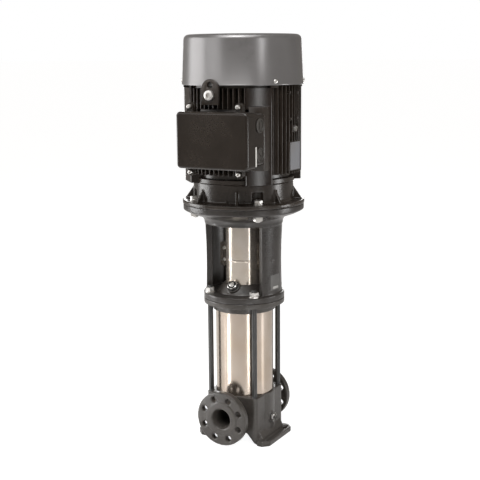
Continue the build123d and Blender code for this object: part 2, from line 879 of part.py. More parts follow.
write(motor_stool.part, "motor_stool")

# Coupling guard: two half shells with flat ears that meet on the plane through both walls
guard_radius = guard_diameter / 2
ear_reach = guard_radius + guard_ear_reach
ear_z = dome_z + guard_ear_base
for side, name in ((-1, "guard_front"), (1, "guard_back")):
    with BuildPart() as guard:
        with BuildSketch(Plane.XY.offset(dome_z)):
            Circle(guard_radius)
            Circle(guard_radius - guard_wall, mode=Mode.SUBTRACT)
            with Locations((0, side * guard_radius)):
                Rectangle(2 * guard_diameter, guard_diameter, mode=Mode.INTERSECT)
        extrude(amount=guard_length)
        with BuildSketch(Plane.XZ):
            for ear in (-1, 1):
                with Locations((ear * (guard_radius + ear_reach) / 2, ear_z + guard_ear_height / 2)):
                    Rectangle(guard_ear_reach + guard_wall, guard_ear_height)
                with Locations((ear * (guard_radius + guard_ear_reach / 2), ear_z + guard_ear_height / 2)):
                    with GridLocations(0, guard_screw_spacing, 1, guard_screw_rows):
                        Circle(guard_screw / 2 + seat_slip, mode=Mode.SUBTRACT)
        extrude(amount=-side * guard_wall)
    write(guard.part, name)

with BuildPart() as guard_screws:
    for ear in (-1, 1):
        ear_x = ear * (guard_radius + guard_ear_reach / 2)
        with BuildSketch(Plane.XZ.offset(guard_wall)):
            with Locations((ear_x, ear_z + guard_ear_height / 2)):
                with GridLocations(0, guard_screw_spacing, 1, guard_screw_rows):
                    Circle(guard_screw_head / 2)
        extrude(amount=guard_screw_head_height)
        with BuildSketch(Plane.XZ.offset(guard_wall)):
            with Locations((ear_x, ear_z + guard_ear_height / 2)):
                with GridLocations(0, guard_screw_spacing, 1, guard_screw_rows):
                    Circle(guard_screw / 2)
        extrude(amount=-guard_screw_length)
write(guard_screws.part, "guard_screws")

# Clamp coupling in two halves, bored for the pump shaft below and the motor shaft above
motor_shaft_radius = motor_shaft_end / 2
coupling_mid_z = coupling_z + coupling_length / 2
screw_seat_y = coupling_screw_seat


def clamp_screw_grid():
    return GridLocations(2 * coupling_screw_reach, coupling_screw_spacing, 2, coupling_screw_rows)


for side, name in ((-1, "coupling_half_front"), (1, "coupling_half_back")):
    with BuildPart() as coupling_half:
        with BuildSketch(Plane.XY.offset(coupling_z)):
            Circle(coupling_diameter / 2)
            with Locations((0, side * (coupling_diameter + coupling_split) / 2)):
                Rectangle(coupling_diameter, coupling_diameter, mode=Mode.INTERSECT)
        extrude(amount=coupling_length)
        with BuildSketch(Plane.XY.offset(coupling_z)):
            Circle(shaft_radius + shaft_slip)
        extrude(amount=coupling_length, mode=Mode.SUBTRACT)
        with BuildSketch(Plane.XY.offset(pump_shaft_top_z + motor_shaft_step)):
            Circle(motor_shaft_radius + shaft_slip)
        extrude(amount=coupling_length, mode=Mode.SUBTRACT)
        with BuildSketch(Plane.XZ):
            with Locations((0, coupling_mid_z)):
                with clamp_screw_grid():
                    Circle(coupling_screw / 2 + seat_slip)
        extrude(amount=-side * coupling_diameter, mode=Mode.SUBTRACT)
        if side < 0:
            with BuildSketch(Plane.XZ.offset(screw_seat_y)):
                with Locations((0, coupling_mid_z)):
                    with clamp_screw_grid():
                        Circle(coupling_screw_head / 2 + bolt_slip)
            extrude(amount=coupling_diameter, mode=Mode.SUBTRACT)
    write(coupling_half.part, name)

with BuildPart() as coupling_screws:
    head_and_shank = ((coupling_screw_head_height, coupling_screw_head), (-2 * screw_seat_y, coupling_screw))
    for depth, size in head_and_shank:
        with BuildSketch(Plane.XZ.offset(screw_seat_y)):
            with Locations((0, coupling_mid_z)):
                with clamp_screw_grid():
                    Circle(size / 2)
        extrude(amount=depth)
write(coupling_screws.part, "coupling_screws")

# Drive-end shield: motor flange with spigot, drum with bolt pockets, ribs and bearing seat
drum_radius = shield_drum_diameter / 2
bearing_seat = bearing_outer / 2 + shaft_slip
hub_wall = bearing_seat + shield_wall
shaft_hole = bearing_bore / 2 + shaft_hole_room
with BuildPart() as drive_shield:
    with BuildSketch(Plane.XZ):
        with BuildLine():
            Polyline(
                (shaft_hole, motor_z),
                (spigot_radius - shield_wall, motor_z),
                (spigot_radius - shield_wall, motor_z - motor_spigot_height),
                (spigot_radius, motor_z - motor_spigot_height),
                (spigot_radius, motor_z),
                (motor_flange_diameter / 2, motor_z),
                (motor_flange_diameter / 2, shield_top_z),
                (drum_radius + shield_foot_chamfer, shield_top_z),
                (drum_radius, shield_top_z + shield_foot_chamfer),
                (drum_radius, frame_z),
                (drum_radius - shield_wall, frame_z),
                (drum_radius - shield_wall, shield_top_z),
                (hub_wall, shield_top_z),
                (hub_wall, drive_bearing_z + bearing_width),
                (bearing_seat, drive_bearing_z + bearing_width),
                (bearing_seat, drive_bearing_z),
                (shaft_hole, drive_bearing_z),
                close=True,
            )
        make_face()
    revolve()
    with BuildSketch(Plane.XY.offset(shield_top_z)):
        with motor_bolt_places:
            Circle(bolt_pocket + shield_wall)
        Circle(drum_radius, mode=Mode.INTERSECT)
        Circle(hub_wall, mode=Mode.SUBTRACT)
    extrude(amount=shield_drum_height)
    with BuildSketch(Plane.XY.offset(shield_top_z)):
        with motor_bolt_places:
            Circle(bolt_pocket)
    extrude(amount=bolt_pocket_height, mode=Mode.SUBTRACT)
    for rib in range(rib_count):
        with BuildSketch(turned_plane((rib + 0.5) * 360 / rib_count)):
            with BuildLine():
                Polyline(
                    (drum_radius - rib_sink, shield_top_z),
                    (motor_flange_diameter / 2 - rib_edge, shield_top_z),
                    (drum_radius - rib_sink, shield_top_z + rib_height),
                    close=True,
                )
            make_face()
        extrude(amount=rib_thickness / 2, both=True)
    with BuildSketch(Plane.XY.offset(motor_z)):
        with motor_bolt_places:
            Circle(motor_bolt / 2 + bolt_slip)
    extrude(amount=motor_flange_thickness, mode=Mode.SUBTRACT)
write(drive_shield.part, "drive_end_shield")

# Flange bolts, washers and nuts that hold the motor on the stool
flange_nut_z = stool_flange_z - nut_height
bolt_seat_z = shield_top_z + motor_washer_thickness
with BuildPart() as flange_washers:
    with BuildSketch(Plane.XY.offset(shield_top_z)):
        with motor_bolt_places:
            Circle(motor_washer / 2)
            Circle(motor_bolt / 2 + seat_slip, mode=Mode.SUBTRACT)
    extrude(amount=motor_washer_thickness)
write(flange_washers.part, "flange_washers")

with BuildPart() as flange_bolts:
    with BuildSketch(Plane.XY.offset(bolt_seat_z)):
        with motor_bolt_places:
            RegularPolygon(motor_bolt_hex / 2, 6, major_radius=False)
    extrude(amount=motor_bolt_head)
    with BuildSketch(Plane.XY.offset(bolt_seat_z)):
        with motor_bolt_places:
            Circle(motor_bolt / 2)
    extrude(amount=flange_nut_z - bolt_seat_z - motor_bolt_end)
write(flange_bolts.part, "flange_bolts")

with BuildPart() as flange_nuts:
    with BuildSketch(Plane.XY.offset(flange_nut_z)):
        with motor_bolt_places:
            RegularPolygon(motor_bolt_hex / 2, 6, major_radius=False)
            Circle(motor_bolt / 2 + seat_slip, mode=Mode.SUBTRACT)
    extrude(amount=nut_height)
write(flange_nuts.part, "flange_nuts")

# Motor frame: finned jacket with corner panels, collar, terminal pad and bosses
core_radius = frame_core_diameter / 2
tip_radius = fin_tip_diameter / 2
panel_face = panel_diameter / 2
box_right_x = box_centre_x + box_width / 2
lug_face_y = cover_rim_diameter / 2 + run_gap
plate_x = tip_radius
with BuildPart() as motor_frame:
    with BuildSketch(Plane.XY.offset(frame_z)):
        Circle(frame_collar_diameter / 2)
        with PolarLocations((core_radius + panel_face) / 2, 4, start_angle=45):
            Rectangle(panel_face - core_radius, panel_width)
        Circle(frame_bore / 2, mode=Mode.SUBTRACT)
    extrude(amount=frame_collar_height)
    with BuildSketch(Plane.XY.offset(frame_z + frame_collar_height)):
        for quarter in range(4):
            with PolarLocations(0, 1, start_angle=90 * quarter):
                with Locations((tip_radius / 2, 0)):
                    with GridLocations(0, fin_pitch, 1, fin_count):
                        Rectangle(tip_radius, fin_thickness)
        Circle(tip_radius, mode=Mode.INTERSECT)
        Circle(core_radius)
        panel_rise = panel_face - core_radius
        with PolarLocations((core_radius + panel_face) / 2, 4, start_angle=45):
            Rectangle(panel_rise + 2 * panel_wall, panel_width)
            Rectangle(panel_rise - panel_wall, panel_width - 2 * panel_wall, mode=Mode.SUBTRACT)
        Circle(frame_bore / 2, mode=Mode.SUBTRACT)
    extrude(amount=frame_length - frame_collar_height)
    with BuildSketch(Plane.XY.offset(frame_z + frame_collar_height)):
        Rectangle(3 * tip_radius, 3 * tip_radius)
        Circle(frame_collar_diameter / 2, mode=Mode.SUBTRACT)
        with PolarLocations((core_radius + panel_face) / 2, 4, start_angle=45):
            Rectangle(panel_face - core_radius + 4 * panel_wall, panel_width, mode=Mode.SUBTRACT)
    extrude(amount=fin_foot - frame_collar_height, mode=Mode.SUBTRACT)
    with BuildSketch(Plane.XZ.offset(box_pad_y)):
        with Locations((box_centre_x, box_centre_z)):
            Rectangle(lid_width + box_margin, lid_height + box_margin)
    extrude(amount=tip_radius, mode=Mode.SUBTRACT)
    with BuildSketch(Plane.XZ.offset(box_pad_back_y)):
        with Locations((box_centre_x, box_centre_z)):
            Rectangle(box_width, box_height)
    extrude(amount=box_pad_y - box_pad_back_y)
    for side in (-1, 1):
        with BuildSketch(Plane.XZ.offset(side * lug_face_y)):
            with Locations((0, lug_screw_height)):
                Circle(lug_boss / 2)
        extrude(amount=-side * (lug_face_y - frame_bore / 2))
    with BuildSketch(Plane.YZ.offset(plate_x)):
        with Locations((0, plate_centre_z)):
            Rectangle(plate_width + 2 * plate_pad_rim, plate_height + 2 * plate_pad_rim)
        with Locations((0, earth_height)):
            Circle(earth_boss / 2)
    extrude(amount=-(plate_x - core_radius + panel_wall))
    with BuildSketch(Plane.XY.offset(frame_z)):
        Circle(frame_bore / 2)
    extrude(amount=frame_length, mode=Mode.SUBTRACT)
    for side in (-1, 1):
        with BuildSketch(Plane.XZ.offset(side * lug_face_y)):
            with Locations((0, lug_screw_height)):
                Circle(lug_screw / 2 + seat_slip)
        extrude(amount=-side * lug_screw_length, mode=Mode.SUBTRACT)
    with BuildSketch(Plane.YZ.offset(plate_x)):
        with Locations((0, earth_height)):
            Circle(earth_screw / 2 + seat_slip)
    extrude(amount=-(earth_screw_length + bolt_slip), mode=Mode.SUBTRACT)
write(motor_frame.part, "motor_frame")

# Stator core and its end windings
with BuildPart() as stator_core:
    with BuildSketch(Plane.XY.offset(stator_z)):
        Circle(frame_bore / 2 - shaft_slip)
        Circle(stator_bore / 2, mode=Mode.SUBTRACT)
    extrude(amount=stator_length)
write(stator_core.part, "stator_core")

with BuildPart() as end_windings:
    for level in (stator_z - winding_height, stator_z + stator_length):
        with BuildSketch(Plane.XY.offset(level)):
            Circle(winding_outer / 2)
            Circle(winding_inner / 2, mode=Mode.SUBTRACT)
        extrude(amount=winding_height)
write(end_windings.part, "end_windings")

# Ball bearings: outer rings with shields stand, inner rings turn
bearing_levels = (drive_bearing_z, end_bearing_z)
with BuildPart() as bearing_outer_rings:
    for level in bearing_levels:
        with BuildSketch(Plane.XZ):
            ring_profile(bearing_outer_land / 2, bearing_outer / 2, level, level + bearing_width)
            shield_inner = bearing_inner_land / 2 + run_gap
            ring_profile(shield_inner, bearing_outer_land / 2 + 1, level, level + bearing_shield)
            top = level + bearing_width
            ring_profile(shield_inner, bearing_outer_land / 2 + 1, top - bearing_shield, top)
        revolve()
write(bearing_outer_rings.part, "bearing_outer_rings")

with BuildPart() as bearing_inner_rings:
    for level in bearing_levels:
        with BuildSketch(Plane.XY.offset(level)):
            Circle(bearing_inner_land / 2)
            Circle(bearing_bore / 2 + shaft_slip, mode=Mode.SUBTRACT)
        extrude(amount=bearing_width)
write(bearing_inner_rings.part, "bearing_inner_rings")

# Motor shaft and rotor core
seat_radius = bearing_bore / 2
shaft_core = motor_shaft_core / 2
fan_seat = fan_seat_diameter / 2
fan_top_z = fan_z + fan_disc_thickness + fan_blade_height
with BuildPart() as motor_shaft:
    with BuildSketch(Plane.XZ):
        with BuildLine():
            Polyline(
                (0, motor_shaft_bottom_z),
                (motor_shaft_radius, motor_shaft_bottom_z),
                (motor_shaft_radius, motor_z),
                (seat_radius, motor_z),
                (seat_radius, drive_bearing_z + bearing_width),
                (shaft_core, drive_bearing_z + bearing_width),
                (shaft_core, end_bearing_z),
                (seat_radius, end_bearing_z),
                (seat_radius, end_bearing_z + bearing_width),
                (fan_seat, end_bearing_z + bearing_width),
                (fan_seat, fan_top_z),
                (0, fan_top_z),
                close=True,
            )
        make_face()
    revolve()
write(motor_shaft.part, "motor_shaft")

with BuildPart() as rotor_core:
    with BuildSketch(Plane.XZ):
        rotor_radius = stator_bore / 2 - rotor_air_gap
        cage = winding_height / 2
        ring_profile(shaft_core + shaft_slip, rotor_radius, stator_z, stator_z + stator_length)
        ring_profile(rotor_radius - cage, rotor_radius - 1, stator_z - cage, stator_z + stator_length + cage)
    revolve()
write(rotor_core.part, "rotor_core")

# Non-drive-end shield with the upper bearing seat and four lugs for the fan cover
cover_screw_z = cover_rim_z + cover_screw_rise
cover_slope = (cover_rim_diameter - cover_top_diameter) / 2 / (cover_length - cover_shoulder)
cover_screw_radius = cover_rim_diameter / 2 - cover_slope * cover_screw_rise
cover_screw_turns = [side + turn for side in (0, 180) for turn in (-cover_screw_angle, cover_screw_angle)]
with BuildPart() as end_shield:
    with BuildSketch(Plane.XZ):
        shield_z = frame_top_z + end_shield_thickness
        with BuildLine():
            Polyline(
                (bearing_seat, end_bearing_z),
                (hub_wall, end_bearing_z),
                (hub_wall, frame_top_z),
                (end_shield_diameter / 2, frame_top_z),
                (end_shield_diameter / 2, shield_z),
                (shaft_hole, shield_z),
                (shaft_hole, end_bearing_z + bearing_width),
                (bearing_seat, end_bearing_z + bearing_width),
                close=True,
            )
        make_face()
    revolve()
    lug_reach = cover_screw_radius - cover_wall - cover_slope * end_shield_lug_height - seat_slip
    for turn in cover_screw_turns:
        with BuildSketch(Plane.XY.offset(frame_top_z)):
            with PolarLocations(0, 1, start_angle=turn + 90):
                with Locations((end_shield_diameter / 2, 0)):
                    Rectangle(3 * end_shield_thickness, end_shield_lug_width)
            Circle(lug_reach, mode=Mode.INTERSECT)
        extrude(amount=end_shield_lug_height)
        with BuildSketch(turned_normal(turn + 90, 0)):
            with Locations((0, cover_screw_z)):
                Circle(cover_screw / 2 + seat_slip)
        extrude(amount=cover_screw_radius, mode=Mode.SUBTRACT)
write(end_shield.part, "end_shield")

# Fan on the upper end of the motor shaft
with BuildPart() as fan:
    with BuildSketch(Plane.XY.offset(fan_z)):
        Circle(fan_diameter / 2)
        Circle(fan_seat + shaft_slip, mode=Mode.SUBTRACT)
    extrude(amount=fan_disc_thickness)
    with BuildSketch(Plane.XY.offset(fan_z)):
        blade_root = fan_hub_diameter / 2 - 2
        with PolarLocations((blade_root + fan_diameter / 2) / 2, fan_blade_count):
            Rectangle(fan_diameter / 2 - blade_root, fan_blade_thickness)
        Circle(fan_diameter / 2, mode=Mode.INTERSECT)
        Circle(fan_hub_diameter / 2)
        Circle(fan_seat + shaft_slip, mode=Mode.SUBTRACT)
    extrude(amount=fan_disc_thickness + fan_blade_height)
write(fan.part, "fan")

# Fan cover: sheet shell with a rounded shoulder, rings of slots in its top and screw holes
rim_radius = cover_rim_diameter / 2
top_radius = cover_top_diameter / 2
shoulder_z = cover_top_z - cover_shoulder
with BuildPart() as fan_cover:
    with BuildSketch(Plane.XZ):
        for shrink, mode in ((0, Mode.ADD), (cover_wall, Mode.SUBTRACT)):
            corner = cover_shoulder - shrink
            shoulder_edge = (top_radius - shrink, shoulder_z)
            top_edge = (top_radius - cover_shoulder, shoulder_z + corner)
            with BuildLine():
                rim_edge = (rim_radius - shrink, cover_rim_z - shrink)
                Polyline((0, cover_rim_z - shrink), rim_edge, shoulder_edge)
                RadiusArc(shoulder_edge, top_edge, -corner)
                Polyline(top_edge, (0, shoulder_z + corner), (0, cover_rim_z - shrink))
            make_face(mode=mode)
    revolve()
    for ring in range(grille_rings):
        slot_radius = grille_inner + ring * grille_pitch
        slot_count = grille_slot_count + ring * grille_slot_count // 2
        with BuildSketch(Plane.XY.offset(cover_top_z - cover_shoulder)):
            with PolarLocations(slot_radius, slot_count):
                Rectangle(grille_slot_length, grille_slot_width)
        extrude(amount=2 * cover_shoulder, mode=Mode.SUBTRACT)
    for turn in cover_screw_turns:
        with BuildSketch(turned_normal(turn + 90, 0)):
            with Locations((0, cover_screw_z)):
                Circle(cover_screw / 2 + seat_slip)
        extrude(amount=rim_radius, mode=Mode.SUBTRACT)
write(fan_cover.part, "fan_cover")

with BuildPart() as cover_screws:
    screw_seat = cover_screw_radius + cover_slope * cover_screw_head / 2 + seat_slip
    for turn in cover_screw_turns:
        for size, length in ((cover_screw_head, cover_screw_height), (cover_screw, -cover_screw_length)):
            with BuildSketch(turned_normal(turn + 90, screw_seat)):
                with Locations((0, cover_screw_z)):
                    Circle(size / 2)
            extrude(amount=length)
write(cover_screws.part, "fan_cover_screws")

# Terminal box on the frame pad, open to the front, with ears for the lid screws
ear_x = box_centre_x + box_ear_shift
ear_places = [
    (ear_x + x * lid_screw_span_x / 2, box_centre_z + z * lid_screw_span_z / 2)
    for x in (-1, 1)
    for z in (-1, 1)
]
entry_places = [(-entry_y, box_centre_z + side * entry_spacing / 2) for side in (-1, 1)]
with BuildPart() as terminal_box:
    with BuildSketch(Plane.XZ.offset(box_pad_y)):
        with Locations((box_centre_x, box_centre_z)):
            RectangleRounded(box_width, box_height, box_corner)
    extrude(amount=box_front_y - box_pad_y)
    with BuildSketch(Plane.XZ.offset(box_front_y)):
        with Locations(*ear_places):
            Circle(box_ear_width / 2)
        with Locations((ear_x, box_centre_z)):
            with GridLocations(lid_screw_span_x, 0, 2, 1):
                Rectangle(box_ear_width, lid_screw_span_z)
    extrude(amount=-box_ear_thickness)
    with BuildSketch(Plane.XZ.offset(box_front_y)):
        with Locations((box_centre_x, box_centre_z)):
            RectangleRounded(box_width - 2 * box_wall, box_height - 2 * box_wall, box_corner - box_wall)
    extrude(amount=-(box_front_y - box_pad_y - box_wall), mode=Mode.SUBTRACT)
    with BuildSketch(Plane.XZ.offset(box_front_y)):
        with Locations(*ear_places):
            Circle(lid_screw / 2 + seat_slip)
    extrude(amount=-box_ear_thickness, mode=Mode.SUBTRACT)
    with BuildSketch(Plane.YZ.offset(box_right_x)):
        with Locations(*entry_places):
            Circle(entry_hole / 2)
    extrude(amount=-box_wall, mode=Mode.SUBTRACT)
write(terminal_box.part, "terminal_box")

with BuildPart() as entry_plugs:
    for size, length in ((entry_plug, entry_plug_head), (entry_hole - 2 * seat_slip, -box_wall)):
        with BuildSketch(Plane.YZ.offset(box_right_x)):
            with Locations(*entry_places):
                Circle(size / 2)
        extrude(amount=length)
    with BuildSketch(Plane.YZ.offset(box_right_x + entry_plug_head)):
        with Locations(*entry_places):
            SlotOverall(entry_slot_length, entry_slot_width)
    extrude(amount=-entry_slot_depth, mode=Mode.SUBTRACT)
write(entry_plugs.part, "entry_plugs")

with BuildPart() as box_seal:
    with BuildSketch(Plane.XZ.offset(box_front_y)):
        with Locations((box_centre_x, box_centre_z)):
            RectangleRounded(box_width, box_height, box_corner)
            inner_width = box_width - 2 * box_wall
            inner_height = box_height - 2 * box_wall
            RectangleRounded(inner_width, inner_height, box_corner - box_wall, mode=Mode.SUBTRACT)
    extrude(amount=box_gasket)
write(box_seal.part, "terminal_box_gasket")

lid_back_y = box_front_y + box_gasket
with BuildPart() as box_lid:
    with BuildSketch(Plane.XZ.offset(lid_back_y)):
        with Locations((box_centre_x, box_centre_z)):
            RectangleRounded(lid_width, lid_height, box_corner)
    extrude(amount=lid_depth)
    fillet(box_lid.faces().sort_by(Axis.Y)[0].edges(), lid_round)
    with BuildSketch(Plane.XZ.offset(lid_back_y)):
        with Locations(*ear_places):
            Circle(box_ear_width / 2)
        with Locations((ear_x, box_centre_z)):
            with GridLocations(lid_screw_span_x, 0, 2, 1):
                Rectangle(box_ear_width, lid_screw_span_z)
        with Locations(*ear_places):
            Circle(lid_screw / 2 + seat_slip, mode=Mode.SUBTRACT)
    extrude(amount=lid_ear_thickness)
    with BuildSketch(Plane.XZ.offset(lid_back_y)):
        with Locations((box_centre_x, box_centre_z)):
            RectangleRounded(box_width - 2 * box_wall, box_height - 2 * box_wall, box_corner - box_wall)
    extrude(amount=lid_depth - lid_wall, mode=Mode.SUBTRACT)
write(box_lid.part, "terminal_box_lid")

with BuildPart() as lid_screws:
    lid_seat_y = lid_back_y + lid_ear_thickness
    for size, length in ((lid_screw_head, lid_screw_head_height), (lid_screw, -lid_screw_length)):
        with BuildSketch(Plane.XZ.offset(lid_seat_y)):
            with Locations(*ear_places):
                Circle(size / 2)
        extrude(amount=length)
write(lid_screws.part, "lid_screws")

# Terminal board with six studs on the floor of the box
board_y = box_pad_y + box_wall
with BuildPart() as terminal_board:
    with BuildSketch(Plane.XZ.offset(board_y)):
        with Locations((box_centre_x, box_centre_z)):
            Rectangle(board_length, board_height)
    extrude(amount=board_thickness)
    with BuildSketch(Plane.XZ.offset(board_y + board_thickness)):
        with Locations((box_centre_x, box_centre_z)):
            with GridLocations(stud_spacing_x, stud_spacing_z, 3, 2):
                RegularPolygon(stud_diameter / 2, 6)
    extrude(amount=stud_length)
write(terminal_board.part, "terminal_board")

# Lifting lugs on the frame bosses, front and back, with their socket screws
lug_round = lug_width / 2
with BuildPart() as lifting_lugs:
    for side in (-1, 1):
        with BuildSketch(Plane.XZ.offset(side * lug_face_y)):
            with Locations((0, (lug_bottom + lug_top - lug_round) / 2)):
                Rectangle(lug_width, lug_top - lug_round - lug_bottom)
            with Locations((0, lug_top - lug_round)):
                Circle(lug_round)
            with Locations((0, lug_screw_height)):
                Circle(lug_screw / 2 + bolt_slip, mode=Mode.SUBTRACT)
            with Locations((0, lug_eye_height)):
                Circle(lug_eye / 2, mode=Mode.SUBTRACT)
        extrude(amount=side * lug_thickness)
write(lifting_lugs.part, "lifting_lugs")

with BuildPart() as lug_screws:
    for side in (-1, 1):
        seat = lug_face_y + lug_thickness
        with BuildSketch(Plane.XZ.offset(side * seat)):
            with Locations((0, lug_screw_height)):
                Circle(lug_screw_head / 2)
                RegularPolygon(lug_screw_socket / 2, 6, major_radius=False, mode=Mode.SUBTRACT)
        extrude(amount=side * lug_screw_head_height)
        with BuildSketch(Plane.XZ.offset(side * seat)):
            with Locations((0, lug_screw_height)):
                Circle(lug_screw / 2)
        extrude(amount=-side * lug_screw_length)
write(lug_screws.part, "lug_screws")

# Bare nameplate on its pad and the earth screw above it
with BuildPart() as nameplate:
    with BuildSketch(Plane.YZ.offset(plate_x)):
        with Locations((0, plate_centre_z)):
            Rectangle(plate_width, plate_height)
    extrude(amount=plate_thickness)
write(nameplate.part, "nameplate")

with BuildPart() as earth_screw_part:
    for size, length in ((earth_screw_head, earth_screw_head_height), (earth_screw, -earth_screw_length)):
        with BuildSketch(Plane.YZ.offset(plate_x)):
            with Locations((0, earth_height)):
                Circle(size / 2)
        extrude(amount=length)
write(earth_screw_part.part, "earth_screw")
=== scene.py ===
"""Dresses a vertical multistage pump around its construction model.

Lengths are in metres. +Z is up along the shaft, and the suction port points to -Y.
"""

import logging
import math
from abc import ABC, abstractmethod
from collections.abc import Callable, Iterable, Iterator, Sequence
from contextlib import contextmanager
from dataclasses import dataclass
from enum import Enum

import bpy
from mathutils import Matrix, Vector


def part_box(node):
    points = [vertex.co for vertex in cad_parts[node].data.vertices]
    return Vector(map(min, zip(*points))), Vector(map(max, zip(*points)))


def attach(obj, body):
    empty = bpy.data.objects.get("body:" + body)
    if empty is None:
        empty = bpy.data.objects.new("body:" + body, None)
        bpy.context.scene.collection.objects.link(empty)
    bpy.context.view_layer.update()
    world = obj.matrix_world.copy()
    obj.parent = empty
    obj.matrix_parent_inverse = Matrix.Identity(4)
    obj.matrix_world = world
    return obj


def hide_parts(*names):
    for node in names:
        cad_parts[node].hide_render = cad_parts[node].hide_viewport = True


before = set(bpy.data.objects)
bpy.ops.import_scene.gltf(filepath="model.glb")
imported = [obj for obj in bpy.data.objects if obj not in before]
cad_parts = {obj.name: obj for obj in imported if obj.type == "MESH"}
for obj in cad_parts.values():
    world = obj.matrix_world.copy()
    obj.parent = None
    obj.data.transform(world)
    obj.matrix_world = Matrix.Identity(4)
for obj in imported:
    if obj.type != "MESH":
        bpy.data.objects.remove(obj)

log = logging.getLogger("pump")

Piece = bpy.types.Object
Node = bpy.types.Node
Point = tuple[float, float, float]
Outline = Sequence[tuple[float, float]]

MM = 0.001
# How far a point may lie off the plane that it belongs to
NEAR = MM / 10
# A ring with this radius merges into one point, which closes a turned end
POLE = MM / 100
PUMP = "pump"
SIDES = (-1, 1)
DOWN = (0.0, 0.0, -1.0)
FRONT = (0.0, -1.0, 0.0)
RIGHT = (1.0, 0.0, 0.0)
# The angles, in degrees, below which the faces of fasteners and of cast shapes shade as one
FASTENER_ANGLE = 25.0
CAST_ANGLE = 35.0


class Slot(Enum):
    """The record's material slot names, which a finish holds."""

    CAST = "cast_black"
    ROD = "rod_black"
    COVER = "cover_grey"
    STAINLESS = "stainless"
    ZINC = "zinc_steel"
    MOULDED = "moulded_plastic"


class Axis(Enum):
    """An axis of the frame, by its number in a point."""

    X = 0
    Y = 1
    Z = 2

    def at(self, point: Sequence[float], level: float) -> bool:
        """Whether a point lies at a level of this axis."""
        return abs(point[self.value] - level) < NEAR

    def holds(self, ends: Sequence[Vector], level: float) -> bool:
        """Whether both ends of an edge lie at a level of this axis."""
        return all(self.at(end, level) for end in ends)

    def along(self, ends: Sequence[Vector]) -> bool:
        """Whether an edge of a plain block runs along this axis."""
        return not self.at(ends[0], ends[1][self.value])


class Part(Enum):
    """The kinds of parts that can be selected on a mesh."""

    VERTEX = "VERT"
    EDGE = "EDGE"
    FACE = "FACE"


class Wire:
    """One output of a shader node, so that shader maths reads as plain sums."""

    def __init__(self, graph: "Graph", socket: bpy.types.NodeSocket) -> None:
        """Keep the graph and the socket that carries the value."""
        self.graph = graph
        self.socket = socket

    def __add__(self, other: "Wire | float") -> "Wire":
        """Add a wire or a number."""
        return self.graph.maths("ADD", self, other)

    __radd__ = __add__

    def __mul__(self, other: "Wire | float") -> "Wire":
        """Multiply by a wire or a number."""
        return self.graph.maths("MULTIPLY", self, other)

    __rmul__ = __mul__

    def clamp(self) -> "Wire":
        """Hold the value between 0 and 1."""
        return self.graph.maths("MAXIMUM", self.graph.maths("MINIMUM", self, 1.0), 0.0)


